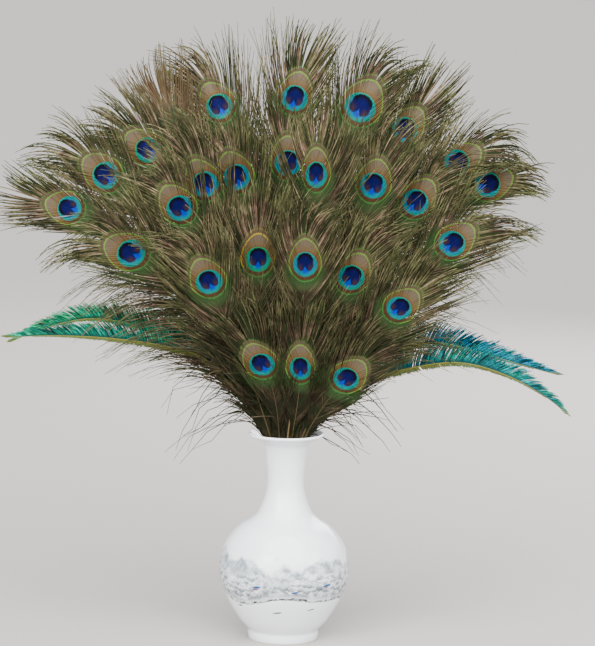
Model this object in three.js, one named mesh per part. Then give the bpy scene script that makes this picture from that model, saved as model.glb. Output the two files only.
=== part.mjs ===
// A bouquet of peacock feathers standing in a white porcelain bottle vase.
// Millimetres, +Z up. The origin is the middle of the vase's foot, on the
// surface that it stands on. The bouquet is a flat fan that faces -Y.

import * as THREE from 'three';
import { mergeVertices } from 'three/addons/utils/BufferGeometryUtils.js';

// ---------------------------------------------------------------- vase sizes

const VASE_FACETS = 28;
const VASE_FLOOR = 10;
const FOOT_RADIUS = 39.7;
const FOOT_INNER_RADIUS = 33.5;
const FOOT_RECESS = 4;

// Radius and height of the outside, from the foot ring up to the flared lip.
const VASE_OUTSIDE = [
  [39.2, 10.3], [51.9, 25], [66.8, 52], [73.1, 78], [67.3, 105], [52.7, 125],
  [38.9, 134.5], [29.8, 144], [21.4, 167], [20.6, 185], [24.2, 214], [27.9, 222], [42.3, 230],
];
// The inside, from the lip down to the floor, one wall thickness further in.
const VASE_INSIDE = [
  [38.8, 231], [24.4, 223.5], [20.7, 214], [17.1, 185], [17.9, 167], [26.3, 142.5],
  [49.2, 121.5], [63.8, 103], [69.6, 78], [63.3, 53.5], [48.4, 27.5], [30, VASE_FLOOR],
];
const LIP_TOP = [41, 232.5];
const OUTSIDE_STEPS = 19;
const INSIDE_STEPS = 14;

// ------------------------------------------------------------- bouquet sizes

// The feathers fan out from a point in the neck, in layers from front to back.
const FAN_CENTRE_Z = 185;
const CURVE_START_Z = 195;

// At LAYER_RING from the fan's centre the layers are LAYER_STEP apart. From
// there each layer leans on its own: the first one forward, the last one back.
const LAYER_RING = 70;
const LAYER_STEP = 3.4;
const FIRST_LAYER_Y = -21;
const FIRST_LAYER_LEAN = -23;
const LEAN_STEP = 3.6;

// In the neck the stems stand in close rows, each shared by a few layers.
const STEM_PITCH = 3.4;
const FIRST_ROW_Y = -8.8;
const ROW_OF_LAYER = [0, 0, 1, 1, 2, 2, 3, 3, 4, 4, 4];
const ROWS_END = 25;
const LAYERS_START = 75;

const STEM_HALF_WIDTH = 1.3;
const STEM_HALF_DEPTH = 1.2;
const TIP_HALF_DEPTH = 0.9;
const STEM_END_LOW = 12;
const STEM_END_SPREAD = 9;

// How far a shaft leans as it leaves the neck, as a share of the lean of the
// straight line to its eye, and never more than the lip allows.
const LEAST_START_LEAN = 0.6;
const MOST_START_LEAN = 1;
const MAX_START_LEAN = 17;
const HANDLE_SHARE = 0.35;

// ------------------------------------------------------------- feather sizes

const SHAFT_PAST_EYE = 26;
const CREST_PAST_EYE = 80;

// Locks of barbs: where the first ones sit, how far apart, how long, how swept.
const FIRST_LOCK_RADIUS = 85;
const LOCK_SPACING = 18;
const LOCK_LENGTH = 96;
const LOCK_SWEEP = 31;
const LOOSE_SWEEP = 34;
const LOOSE_ZONE = 110;
const VANE_HALF_WIDTH = 2.4;
const PLAIN_SPACING = 26;

// The eye's oval outline: place along the shaft from the eye's middle, half
// width, and the length and sweep of the lock that follows.
const EYE_OUTLINE = [
  { along: -38, half: 5, lock: 85, sweep: 30 },
  { along: -26, half: 13, lock: 80, sweep: 28 },
  { along: -14, half: 20, lock: 72, sweep: 26 },
  { along: -2, half: 24, lock: 66, sweep: 22 },
  { along: 10, half: 22, lock: 60, sweep: 16 },
  { along: 19, half: 15, lock: 56, sweep: 10 },
  { along: SHAFT_PAST_EYE, half: 7, lock: 0, sweep: 0 },
];

const SWORD_BARB_LENGTH = 27;
const SWORD_LAST_BARB_LENGTH = 13;
const SWORD_BARB_SWEEP = 52;
const SWORD_TIP_SWEEP = 14;
const SWORD_TIP_LENGTH = 11;
const SWORD_HALF_WIDTH = 1.8;
const SWORD_FIRST_BARB_RADIUS = 120;

const WEDGE_GAP = 1.6;
const REACH_STEPS = 16;
const HAIR = 1e-4;

// Each eye feather: its layer, its eye's place across and up, and the lean of
// the shaft at the eye, in degrees from upright, to the right when positive.
const EYE_FEATHERS = [
  { layer: 10, x: -83, z: 589, lean: -30 },
  { layer: 7, x: 2, z: 603, lean: 12.5 },
  { layer: 8, x: 75, z: 593, lean: 28 },
  { layer: 9, x: 126, z: 568, lean: 35.5 },
  { layer: 8, x: -160, z: 542, lean: -54 },
  { layer: 7, x: -205, z: 514, lean: -51 },
  { layer: 5, x: -241, z: 481, lean: -76 },
  { layer: 3, x: -119, z: 486, lean: -35.5 },
  { layer: 4, x: -93, z: 511, lean: -28 },
  { layer: 5, x: -59, z: 518, lean: -24 },
  { layer: 6, x: -4, z: 533, lean: 0 },
  { layer: 3, x: 27, z: 525, lean: 0 },
  { layer: 4, x: 89, z: 513, lean: 11 },
  { layer: 5, x: 136, z: 494, lean: 34.7 },
  { layer: 6, x: 181, z: 537, lean: 58 },
  { layer: 7, x: 217, z: 512, lean: 68 },
  { layer: 3, x: 175, z: 453, lean: 46 },
  { layer: 2, x: -170, z: 438, lean: -62.5 },
  { layer: 1, x: -86, z: 408, lean: -25 },
  { layer: 2, x: -34, z: 432, lean: 0 },
  { layer: 1, x: 17, z: 429, lean: 0 },
  { layer: 2, x: 67, z: 414, lean: 23 },
  { layer: 1, x: 119, z: 383, lean: 41 },
  { layer: 0, x: -28, z: 315, lean: -29 },
  { layer: 0, x: 14, z: 311, lean: 0 },
  { layer: 0, x: 64, z: 301, lean: 39 },
  { layer: 9, x: -133, z: 565, lean: -24 },
];

// Each sword feather: its layer, the side that its vane is on (1 is the right
// of the shaft, seen from the front) and the places that its shaft runs through.
const SWORD_FEATHERS = [
  {
    name: 'sword_feather_left_low', layer: 4, vaneSide: 1,
    route: [[-19, 218], [-43, 262], [-89, 315], [-133, 330], [-193, 339], [-255, 342], [-307, 340]],
  },
  {
    name: 'sword_feather_left_high', layer: 6, vaneSide: 1,
    route: [[-17, 216], [-43, 264], [-95, 322], [-147, 345], [-213, 357], [-266, 347], [-306, 330]],
  },
  {
    name: 'sword_feather_right_low', layer: 4, vaneSide: -1,
    route: [[17, 216], [40, 253], [82, 291], [124, 308], [187, 319], [242, 306], [287, 282], [305, 267]],
  },
  {
    name: 'sword_feather_right_high', layer: 6, vaneSide: -1,
    route: [[17, 216], [43, 262], [92, 312], [130, 331], [168, 337], [212, 327], [267, 312], [299, 304]],
  },
];

// ----------------------------------------------------------------- materials

function paint(name, color, roughness, metalness = 0) {
  return new THREE.MeshStandardMaterial({ name, color, roughness, metalness });
}

const PORCELAIN = paint('porcelain', 0xf1f3f4, 0.18);
const BARBS = paint('barbs', 0x5a5a30, 0.62, 0.1);
const SWORD_BARBS = paint('sword_barbs', 0x0f8f7c, 0.5, 0.15);

// ---------------------------------------------------------------------- vase

function toVector2(pair) {
  return new THREE.Vector2(pair[0], pair[1]);
}

function smoothOutline(pairs, steps) {
  return new THREE.SplineCurve(pairs.map(toVector2)).getPoints(steps);
}

function makeVase() {
  const foot = [
    [0, FOOT_RECESS], [FOOT_INNER_RADIUS - 1, FOOT_RECESS], [FOOT_INNER_RADIUS, 0],
    [FOOT_RADIUS, 0], [FOOT_RADIUS, 8],
  ];
  const profile = [
    ...foot.map(toVector2),
    ...smoothOutline(VASE_OUTSIDE, OUTSIDE_STEPS),
    toVector2(LIP_TOP),
    ...smoothOutline(VASE_INSIDE, INSIDE_STEPS),
    new THREE.Vector2(0, VASE_FLOOR),
  ];
  const turned = new THREE.LatheGeometry(profile, VASE_FACETS);
  turned.rotateX(Math.PI / 2);
  turned.deleteAttribute('normal');
  turned.deleteAttribute('uv');
  const mesh = new THREE.Mesh(mergeVertices(turned, 1e-3), PORCELAIN);
  mesh.name = 'vase';
  return mesh;
}

// -------------------------------------------------------------- fan and paths
// Every feather is drawn flat, as seen from the front, in two-dimensional
// vectors of (across, up). The layer's surface then gives each point its depth.

function heading(degrees) {
  const angle = THREE.MathUtils.degToRad(degrees);
  return new THREE.Vector2(Math.sin(angle), Math.cos(angle));
}

function fanRadius(point) {
  return Math.hypot(point.x, point.y - FAN_CENTRE_Z);
}

function fanAngle(point) {
  return Math.atan2(point.x, point.y - FAN_CENTRE_Z);
}

function rowY(layer) {
  return FIRST_ROW_Y + ROW_OF_LAYER[layer] * STEM_PITCH;
}

function layerY(layer, radius) {
  const lean = THREE.MathUtils.degToRad(FIRST_LAYER_LEAN + layer * LEAN_STEP);
  return FIRST_LAYER_Y + layer * LAYER_STEP + (radius - LAYER_RING) * Math.tan(lean);
}

function depthAt(layer, point) {
  if (point.y < CURVE_START_Z) return rowY(layer);
  const radius = fanRadius(point);
  const share = THREE.MathUtils.smoothstep(radius, ROWS_END, LAYERS_START);
  return THREE.MathUtils.lerp(rowY(layer), layerY(layer, radius), share);
}

function stemPath(feather, x) {
  const low = STEM_END_LOW + STEM_END_SPREAD * (Math.abs(x * 7.3) % 1);
  const path = new THREE.CurvePath();
  path.add(new THREE.LineCurve(new THREE.Vector2(x, low), new THREE.Vector2(x, CURVE_START_Z)));
  return path;
}

// The shaft leaves the neck nearly upright and bends outward to its eye.
function eyePath(feather, x) {
  const start = new THREE.Vector2(x, CURVE_START_Z);
  const chord = feather.target.clone().sub(start);
  const chordLean = THREE.MathUtils.radToDeg(Math.atan2(chord.x, chord.y));
  const outward = Math.sign(chordLean);
  const steepness = THREE.MathUtils.clamp(
    (2 * chordLean - feather.lean) / chordLean, LEAST_START_LEAN, MOST_START_LEAN,
  );
  const startLean = outward * Math.min(Math.abs(chordLean) * steepness, MAX_START_LEAN);
  const handle = chord.length() * HANDLE_SHARE;
  const end = heading(feather.lean);
  const path = stemPath(feather, x);
  path.add(new THREE.CubicBezierCurve(
    start,
    start.clone().addScaledVector(heading(startLean), handle),
    feather.target.clone().addScaledVector(end, -handle),
    feather.target,
  ));
  path.add(new THREE.LineCurve(
    feather.target, feather.target.clone().addScaledVector(end, SHAFT_PAST_EYE),
  ));
  return path;
}

function swordPath(feather, x) {
  const start = new THREE.Vector2(x, CURVE_START_Z);
  const path = stemPath(feather, x);
  path.add(new THREE.SplineCurve([start, ...feather.route.map(toVector2)]));
  return path;
}

function shaftPath(feather, x) {
  return feather.route ? swordPath(feather, x) : eyePath(feather, x);
}

// A path's point, its direction and the direction to its right, at a length.
// It looks a hair past the length, so that it never falls on a curve's very start.
function frameAt(path, length) {
  const share = THREE.MathUtils.clamp((length + HAIR) / path.getLength(), 0, 1);
  const point = path.getPoint(share);
  const ahead = path.getTangent(share);
  return { point, ahead, right: new THREE.Vector2(ahead.y, -ahead.x) };
}

// The length along the path at which it first reaches a distance from the
// fan's centre.
function lengthAtRadius(path, radius) {
  const total = path.getLength();
  let length = CURVE_START_Z - path.curves[0].v1.y;
  while (length < total && fanRadius(frameAt(path, length).point) < radius) length += 2;
  return length;
}

// The angle of a path in the fan, at a distance from the fan's centre.
function angleAtRadius(path, radius) {
  return fanAngle(frameAt(path, lengthAtRadius(path, radius)).point);
}

// The stems of a row stand side by side, in the order in which they fan out.
function placeStems(feathers) {
  const opening = (feather) => angleAtRadius(shaftPath(feather, 0), LAYERS_START);
  for (let row = 0; row <= ROW_OF_LAYER.at(-1); row += 1) {
    const inRow = feathers.filter((feather) => ROW_OF_LAYER[feather.layer] === row);
    inRow.sort((a, b) => opening(a) - opening(b));
    inRow.forEach((feather, i) => {
      feather.path = shaftPath(feather, (i - (inRow.length - 1) / 2) * STEM_PITCH);
    });
  }
}

// ------------------------------------------------------------ feather solids
// A feather's solid is a flat shaft of rectangular section. Between two of its
// rings a lock of barbs may stand out on either side, drawn to a point.

class FeatherSolid {
  constructor(feather, wedge) {
    this.layer = feather.layer;
    this.wedge = wedge;
    this.positions = [];
    this.triangles = [];
    this.lastRing = null;
  }

  addVertex(point, depthOffset) {
    const y = depthAt(this.layer, point) + depthOffset;
    this.positions.push(point.x, y, point.y);
    return this.positions.length / 3 - 1;
  }

  // Moves out from a base by an offset, as far as the feather's own wedge goes.
  reachOut(base, offset) {
    const reached = base.clone();
    for (let step = 1; step <= REACH_STEPS; step += 1) {
      const point = base.clone().addScaledVector(offset, step / REACH_STEPS);
      if (step > 1 && !this.wedge(point)) break;
      reached.copy(point);
    }
    return reached;
  }

  // A ring: right front, right back, left back, left front.
  addRing(frame, rightWidth, leftWidth, halfDepth) {
    const right = this.reachOut(frame.point, frame.right.clone().multiplyScalar(rightWidth));
    const left = this.reachOut(frame.point, frame.right.clone().multiplyScalar(-leftWidth));
    return [
      this.addVertex(right, -halfDepth), this.addVertex(right, halfDepth),
      this.addVertex(left, halfDepth), this.addVertex(left, -halfDepth),
    ];
  }

  addQuad(a, b, c, d) {
    this.triangles.push(a, b, c, a, c, d);
  }

  // Joins the last ring to the next one. A tip makes that side a lock.
  addSpan(ring, rightTip = null, leftTip = null) {
    const [rf, rb, lb, lf] = this.lastRing;
    const [rf2, rb2, lb2, lf2] = ring;
    this.addQuad(lf, rf, rf2, lf2);
    this.addQuad(rb, lb, lb2, rb2);
    this.addSide(rf, rb, rb2, rf2, rightTip);
    this.addSide(lb, lf, lf2, lb2, leftTip);
    this.lastRing = ring;
  }

  addSide(a, b, b2, a2, tip) {
    if (tip === null) {
      this.addQuad(a, b, b2, a2);
      return;
    }
    this.triangles.push(a, b, tip, b, b2, tip, b2, a2, tip, a2, a, tip);
  }

  addLockTip(frame, side, halfWidth, lock, sweep) {
    const direction = heading(sweep);
    const base = this.reachOut(frame.point, frame.right.clone().multiplyScalar(side * halfWidth));
    const offset = frame.ahead.clone().multiplyScalar(lock * direction.y)
      .addScaledVector(frame.right, side * lock * direction.x);
    return this.addVertex(this.reachOut(base, offset), 0);
  }

  addStart(ring) {
    const [rf, rb, lb, lf] = ring;
    this.addQuad(lf, lb, rb, rf);
    this.lastRing = ring;
  }

  addPointedEnd(point) {
    const [rf, rb, lb, lf] = this.lastRing;
    const tip = this.addVertex(point, 0);
    this.triangles.push(lf, rf, tip, rb, lb, tip, rf, rb, tip, lb, lf, tip);
  }

  toMesh(name, material) {
    const geometry = new THREE.BufferGeometry();
    geometry.setAttribute('position', new THREE.Float32BufferAttribute(this.positions, 3));
    geometry.setIndex(this.triangles);
    const mesh = new THREE.Mesh(geometry, material);
    mesh.name = name;
    return mesh;
  }
}

// The bare shaft, from the stem's cut end to where the barbs begin.
function addBareShaft(solid, path, end) {
  const curveStart = CURVE_START_Z - path.curves[0].v1.y;
  const spans = Math.round((end - curveStart) / PLAIN_SPACING);
  solid.addStart(solid.addRing(frameAt(path, 0), STEM_HALF_WIDTH, STEM_HALF_WIDTH, STEM_HALF_DEPTH));
  for (let i = 0; i <= spans; i += 1) {
    const frame = frameAt(path, THREE.MathUtils.lerp(curveStart, end, i / spans));
    solid.addSpan(solid.addRing(frame, STEM_HALF_WIDTH, STEM_HALF_WIDTH, STEM_HALF_DEPTH));
  }
}

// Barbs near the vase, on a side with no neighbour, hang out more loosely.
function lockSweep(radius, isFree) {
  if (!isFree) return LOCK_SWEEP;
  const low = 1 - (radius - FIRST_LOCK_RADIUS) / LOOSE_ZONE;
  return LOCK_SWEEP + LOOSE_SWEEP * THREE.MathUtils.clamp(low, 0, 1);
}

function addShaftLocks(solid, path, start, end, freeSides) {
  const count = Math.max(1, Math.round((end - start) / LOCK_SPACING));
  for (let i = 0; i < count; i += 1) {
    const middle = frameAt(path, THREE.MathUtils.lerp(start, end, (i + 0.5) / count));
    const next = frameAt(path, THREE.MathUtils.lerp(start, end, (i + 1) / count));
    const radius = fanRadius(middle.point);
    const rightTip = solid.addLockTip(
      middle, 1, VANE_HALF_WIDTH, LOCK_LENGTH, lockSweep(radius, freeSides.right));
    const leftTip = solid.addLockTip(
      middle, -1, VANE_HALF_WIDTH, LOCK_LENGTH, lockSweep(radius, freeSides.left));
    solid.addSpan(
      solid.addRing(next, VANE_HALF_WIDTH, VANE_HALF_WIDTH, STEM_HALF_DEPTH), rightTip, leftTip);
  }
}

function addEyeAndCrest(solid, path, eyeLength) {
  EYE_OUTLINE.slice(1).forEach((outer, i) => {
    const inner = EYE_OUTLINE[i];
    const middle = frameAt(path, eyeLength + (inner.along + outer.along) / 2);
    const half = (inner.half + outer.half) / 2;
    const rightTip = solid.addLockTip(middle, 1, half, inner.lock, inner.sweep);
    const leftTip = solid.addLockTip(middle, -1, half, inner.lock, inner.sweep);
    const frame = frameAt(path, eyeLength + outer.along);
    solid.addSpan(solid.addRing(frame, outer.half, outer.half, TIP_HALF_DEPTH), rightTip, leftTip);
  });
  const end = frameAt(path, path.getLength());
  const crest = end.ahead.clone().multiplyScalar(CREST_PAST_EYE - SHAFT_PAST_EYE);
  solid.addPointedEnd(solid.reachOut(end.point, crest));
}

function makeEyeFeather(feather) {
  const { path, wedge, freeSides } = feather;
  const solid = new FeatherSolid(feather, wedge);
  const eyeLength = path.getLength() - SHAFT_PAST_EYE;
  const headStart = eyeLength + EYE_OUTLINE[0].along;
  const firstLock = Math.min(lengthAtRadius(path, FIRST_LOCK_RADIUS), headStart - LOCK_SPACING / 2);
  addBareShaft(solid, path, firstLock);
  addShaftLocks(solid, path, firstLock, headStart, freeSides);
  addEyeAndCrest(solid, path, eyeLength);
  return solid.toMesh(feather.name, BARBS);
}

// A sword feather has one stiff vane of short barbs along the shaft's upper side.
function makeSwordFeather(feather) {
  const { path, wedge, vaneSide } = feather;
  const solid = new FeatherSolid(feather, wedge);
  const start = lengthAtRadius(path, SWORD_FIRST_BARB_RADIUS);
  const end = path.getLength();
  addBareShaft(solid, path, start);
  const count = Math.round((end - start) / LOCK_SPACING);
  for (let i = 0; i < count; i += 1) {
    const share = (i + 0.5) / count;
    const middle = frameAt(path, THREE.MathUtils.lerp(start, end, share));
    const next = frameAt(path, THREE.MathUtils.lerp(start, end, (i + 1) / count));
    const sweep = THREE.MathUtils.lerp(SWORD_BARB_SWEEP, SWORD_TIP_SWEEP, share ** 2);
    const length = THREE.MathUtils.lerp(SWORD_BARB_LENGTH, SWORD_LAST_BARB_LENGTH, share ** 3);
    const tip = solid.addLockTip(middle, vaneSide, SWORD_HALF_WIDTH, length, sweep);
    const ring = solid.addRing(next, SWORD_HALF_WIDTH, SWORD_HALF_WIDTH, TIP_HALF_DEPTH);
    solid.addSpan(ring, vaneSide > 0 ? tip : null, vaneSide > 0 ? null : tip);
  }
  const last = frameAt(path, end);
  solid.addPointedEnd(last.point.clone().addScaledVector(last.ahead, SWORD_TIP_LENGTH));
  return solid.toMesh(feather.name, SWORD_BARBS);
}

// ------------------------------------------------------------------- bouquet

// A feather may fill the layer halfway to its neighbours of the same layer.
function setWedge(feather, sameLayer) {
  const angle = (other, radius) => angleAtRadius(other.path, radius);
  const own = fanAngle(feather.target);
  const others = sameLayer.filter((other) => other !== feather);
  const left = others.filter((other) => fanAngle(other.target) < own).at(-1);
  const right = others.find((other) => fanAngle(other.target) > own);
  feather.freeSides = { left: !left, right: !right };
  feather.wedge = (point) => {
    const radius = fanRadius(point);
    const gap = WEDGE_GAP / radius;
    const here = fanAngle(point);
    const low = left ? (angle(left, radius) + angle(feather, radius)) / 2 + gap : -Math.PI;
    const high = right ? (angle(right, radius) + angle(feather, radius)) / 2 - gap : Math.PI;
    return here > low && here < high;
  };
}

function arrangeFeathers() {
  const eyes = EYE_FEATHERS.map((feather, i) => ({
    ...feather,
    name: `eye_feather_${String(i + 1).padStart(2, '0')}`,
    target: new THREE.Vector2(feather.x, feather.z),
    route: null,
  }));
  const swords = SWORD_FEATHERS.map((feather) => ({
    ...feather, target: toVector2(feather.route.at(-1)),
  }));
  const feathers = [...eyes, ...swords];
  placeStems(feathers);
  for (const feather of feathers) {
    const sameLayer = feathers.filter((other) => other.layer === feather.layer);
    sameLayer.sort((a, b) => fanAngle(a.target) - fanAngle(b.target));
    setWedge(feather, sameLayer);
  }
  return feathers;
}

function makeBouquetInVase() {
  const object = new THREE.Group();
  object.name = 'peacock_feathers_in_vase';
  object.add(makeVase());
  for (const feather of arrangeFeathers()) {
    object.add(feather.route ? makeSwordFeather(feather) : makeEyeFeather(feather));
  }
  return object;
}

export default makeBouquetInVase();
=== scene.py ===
# %% [markdown]
# # Peacock feathers in a porcelain vase
# A flat fan of peacock tail feathers stands in a white bottle vase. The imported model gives
# every feather's place. This script grows the barbs on the shafts, glazes the vase, and
# sets the light. Each step says what the thing is, how it could be made, and why it is
# made this way.

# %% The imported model
import math

import bmesh
import bpy
import numpy as np
from mathutils import Matrix, Vector


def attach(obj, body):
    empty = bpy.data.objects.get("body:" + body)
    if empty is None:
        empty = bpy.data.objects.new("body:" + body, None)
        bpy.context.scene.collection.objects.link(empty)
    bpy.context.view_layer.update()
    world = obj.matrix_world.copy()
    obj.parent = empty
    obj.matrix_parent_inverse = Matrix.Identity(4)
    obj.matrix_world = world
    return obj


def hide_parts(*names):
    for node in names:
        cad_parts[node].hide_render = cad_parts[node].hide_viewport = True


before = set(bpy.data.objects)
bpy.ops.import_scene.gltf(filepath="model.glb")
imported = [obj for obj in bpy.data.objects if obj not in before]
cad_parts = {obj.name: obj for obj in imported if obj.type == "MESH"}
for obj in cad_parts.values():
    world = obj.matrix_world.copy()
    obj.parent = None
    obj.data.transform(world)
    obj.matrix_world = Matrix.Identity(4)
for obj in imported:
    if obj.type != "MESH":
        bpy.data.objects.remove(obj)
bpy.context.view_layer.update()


def add_object(name, data):
    """A new object in the scene."""
    made = bpy.data.objects.new(name, data)
    bpy.context.scene.collection.objects.link(made)
    return made


# %% [markdown]
# ## Camera
# The bouquet is seen from the front, from about three metres away, a little above its top.
# A long lens from that distance keeps the fan flat. A wide lens close by would be simpler
# to place, but it would swell the middle of the fan. The camera is rolled by one degree, so
# its three axes are written out as the columns of its matrix.

# %% Camera
CAMERA_PLACE = Vector((0.0099, -2.96, 0.73))
CAMERA_PITCH = math.radians(7.21)
CAMERA_ROLL = math.radians(1.06)
LENS = 150


def make_camera():
    right = Vector((1, 0, 0))
    forward = Vector((0, math.cos(CAMERA_PITCH), -math.sin(CAMERA_PITCH)))
    up = right.cross(forward)
    side = right * math.cos(CAMERA_ROLL) + up * math.sin(CAMERA_ROLL)
    top = up * math.cos(CAMERA_ROLL) - right * math.sin(CAMERA_ROLL)
    data = bpy.data.cameras.new("camera")
    data.lens = LENS
    camera = add_object("camera", data)
    turn = Matrix((side, top, -forward)).transposed().to_4x4()
    camera.matrix_world = Matrix.Translation(CAMERA_PLACE) @ turn
    bpy.context.scene.camera = camera
    return camera


print("camera at", tuple(make_camera().matrix_world.translation))

# %% [markdown]
# ## Writing node trees
# Node trees are drawn by hand in Blender's editor, but a script can wire them too. The
# small class here adds a node, fills its inputs with numbers or with other nodes' outputs,
# and gives back an output. The same calls then write shaders and Geometry Nodes alike, and
# a formula reads almost like plain arithmetic.

# %% Wiring helper
class Wiring:
    """Adds nodes to one tree and joins them up."""

    def __init__(self, tree):
        self.tree = tree

    def plug(self, socket, value):
        if isinstance(value, bpy.types.NodeSocket):
            self.tree.links.new(value, socket)
        else:
            socket.default_value = value

    def node(self, kind, values=None, **settings):
        made = self.tree.nodes.new(kind)
        for name, value in settings.items():
            setattr(made, name, value)
        for name, value in (values or {}).items():
            self.plug(made.inputs[name], value)
        return made

    def result(self, kind, values=None, **settings):
        """Adds a node and gives back its first output."""
        return self.node(kind, values, **settings).outputs[0]

    def math(self, operation, *values, clamp=False):
        made = self.node("ShaderNodeMath", operation=operation, use_clamp=clamp)
        for socket, value in zip(made.inputs, values):
            self.plug(socket, value)
        return made.outputs[0]

    def plus(self, first, second):
        return self.math("ADD", first, second)

    def minus(self, first, second):
        return self.math("SUBTRACT", first, second)

    def times(self, first, *others):
        """The product of two or more values."""
        for other in others:
            first = self.math("MULTIPLY", first, other)
        return first

    def times_plus(self, first, second, third):
        """First times second, plus third."""
        return self.math("MULTIPLY_ADD", first, second, third)

    def vector(self, operation, first, second=None, scale=None):
        made = self.node("ShaderNodeVectorMath", {0: first}, operation=operation)
        if second is not None:
            self.plug(made.inputs[1], second)
        if scale is not None:
            self.plug(made.inputs["Scale"], scale)
        return made.outputs["Value" if operation == "LENGTH" else "Vector"]

    def scaled(self, vector, size):
        return self.vector("SCALE", vector, scale=size)

    def parts(self, vector):
        """The parts X, Y and Z of a vector."""
        return self.node("ShaderNodeSeparateXYZ", {"Vector": vector}).outputs

    def joined(self, parts):
        """A vector with these parts, and zero for the rest."""
        return self.result("ShaderNodeCombineXYZ", parts)

    def step(self, value, start, end, low=0.0, high=1.0):
        """Goes smoothly from low to high as the value goes from start to end."""
        values = {"Value": value, "From Min": start, "From Max": end, "To Min": low, "To Max": high}
        made = self.node("ShaderNodeMapRange", values, interpolation_type="SMOOTHSTEP")
        return made.outputs["Result"]

    def mix(self, share, first, second, blend="MIX"):
        made = self.node("ShaderNodeMix", {0: share}, data_type="RGBA", blend_type=blend)
        self.plug(made.inputs[6], first)
        self.plug(made.inputs[7], second)
        return made.outputs[2]

    def noise(self, place, scale, detail=2.0, roughness=0.5):
        values = {"Vector": place, "Scale": scale, "Detail": detail, "Roughness": roughness}
        return self.node("ShaderNodeTexNoise", values)


def ink(red, green, blue):
    """A colour given in 0 to 255, as Blender's linear light wants it."""
    parts = [c / 255 for c in (red, green, blue)]
    linear = [c / 12.92 if c <= 0.04045 else ((c + 0.055) / 1.055) ** 2.4 for c in parts]
    return (*linear, 1.0)


print("wiring helper ready")

# %% [markdown]
# ## The shafts
# A tail feather is one long horny shaft with barbs on both sides. The stems stand straight
# in the vase and bend outward above its neck. Each shaft is a straight line, a Bezier curve
# to the middle of its eye, and a short straight tip. The feathers stand in eleven layers,
# and each layer leans on its own, so a layer's depth follows from the distance to the neck.
# The numbers here are the ones that the solids were drawn from, so the barbs grow exactly
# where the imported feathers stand. They are in millimetres.

# %% Numbers of the fan
FAN_CENTRE_Z = 185.0
CURVE_START_Z = 195.0
LAYER_RING = 70.0
LAYER_STEP = 3.4
FIRST_LAYER_Y = -21.0
FIRST_LAYER_LEAN = -23.0
LEAN_STEP = 3.6
ROWS_END = 25.0
LAYERS_START = 75.0
LEAST_START_LEAN = 0.6
MOST_START_LEAN = 1.0
MAX_START_LEAN = 17.0
HANDLE_SHARE = 0.35
SHAFT_PAST_EYE = 26.0
MM = 0.001

# Each eye feather: its layer, its eye's place across and up, the lean of the shaft at the
# eye in degrees, and its tint from gold (0) through green to blue (1).
EYE_FEATHERS = [
    (10, -83, 589, -30, 0.4), (7, 2, 603, 12.5, 0.55), (8, 75, 593, 28, 0.5),
    (9, 126, 568, 35.5, 0.55), (8, -160, 542, -54, 0.3), (7, -205, 514, -51, 0.45),
    (5, -241, 481, -76, 0.6), (3, -119, 486, -35.5, 0.6), (4, -93, 511, -28, 0.7),
    (5, -59, 518, -24, 0.7), (6, -4, 533, 0, 0.6), (3, 27, 525, 0, 0.5),
    (4, 89, 513, 11, 0.65), (5, 136, 494, 34.7, 0.6), (6, 181, 537, 58, 0.45),
    (7, 217, 512, 68, 0.5), (3, 175, 453, 46, 0.6), (2, -170, 438, -62.5, 0.45),
    (1, -86, 408, -25, 0.5), (2, -34, 432, 0, 0.1), (1, 17, 429, 0, 0.75),
    (2, 67, 414, 23, 0.4), (1, 119, 383, 41, 0.6), (0, -28, 315, -29, 0.5),
    (0, 14, 311, 0, 0.35), (0, 64, 301, 39, 0.45), (9, -133, 565, -24, 0.3),
]

# How wide and how long an eye is, against the eye group's own one.
USUAL_EYE = (1.0, 1.04)
EYE_SIZES = {
    1: (1.04, 1.06), 3: (1.22, 1.18), 6: (1.06, 1.08), 7: (0.95, 0.94), 12: (0.8, 1.06),
    18: (1.1, 1.1), 20: (0.95, 1.06), 21: (0.9, 1.07), 22: (1.0, 1.06), 23: (0.93, 1.0),
    24: (0.95, 1.03), 25: (0.82, 1.05), 26: (0.97, 1.03),
}

# The feathers whose crest is shorter than the usual one.
SHORT_CRESTS = {16: 0.72, 7: 0.9, 5: 0.9, 15: 0.9}

# Each sword feather: its layer, the side of its vane (1 is right of the shaft), its tint
# and the places that its shaft runs through.
SWORD_FEATHERS = {
    "left_low": (4, 1, 0.25, [(-19, 218), (-43, 262), (-89, 315), (-133, 330), (-193, 339),
                             (-255, 342), (-307, 340)]),
    "left_high": (6, 1, 0.1, [(-17, 216), (-43, 264), (-95, 322), (-147, 345), (-213, 357),
                              (-266, 347), (-306, 330)]),
    "right_low": (4, -1, 0.6, [(17, 216), (40, 253), (82, 291), (124, 308), (187, 319),
                               (242, 306), (287, 282), (305, 267)]),
    "right_high": (6, -1, 1.0, [(17, 216), (43, 262), (92, 312), (130, 331), (168, 337),
                                (212, 327), (267, 312), (299, 304)]),
}
print(len(EYE_FEATHERS), "eye feathers and", len(SWORD_FEATHERS), "sword feathers")


# %% Shaft curves
def heading(lean):
    return np.array([math.sin(math.radians(lean)), math.cos(math.radians(lean))])


def stem_foot(node):
    """The cut end of a packed stem: its place across, its depth and its height."""
    corners = np.array([v.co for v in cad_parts[node].data.vertices]) / MM
    foot = corners[corners[:, 2] < corners[:, 2].min() + 0.01]
    return foot.mean(0)


def bezier(start, first_handle, second_handle, end, steps=240):
    t = np.linspace(0, 1, steps)[:, None]
    s = 1 - t
    return s**3 * start + 3 * s * s * t * first_handle + 3 * s * t * t * second_handle + t**3 * end


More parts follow.
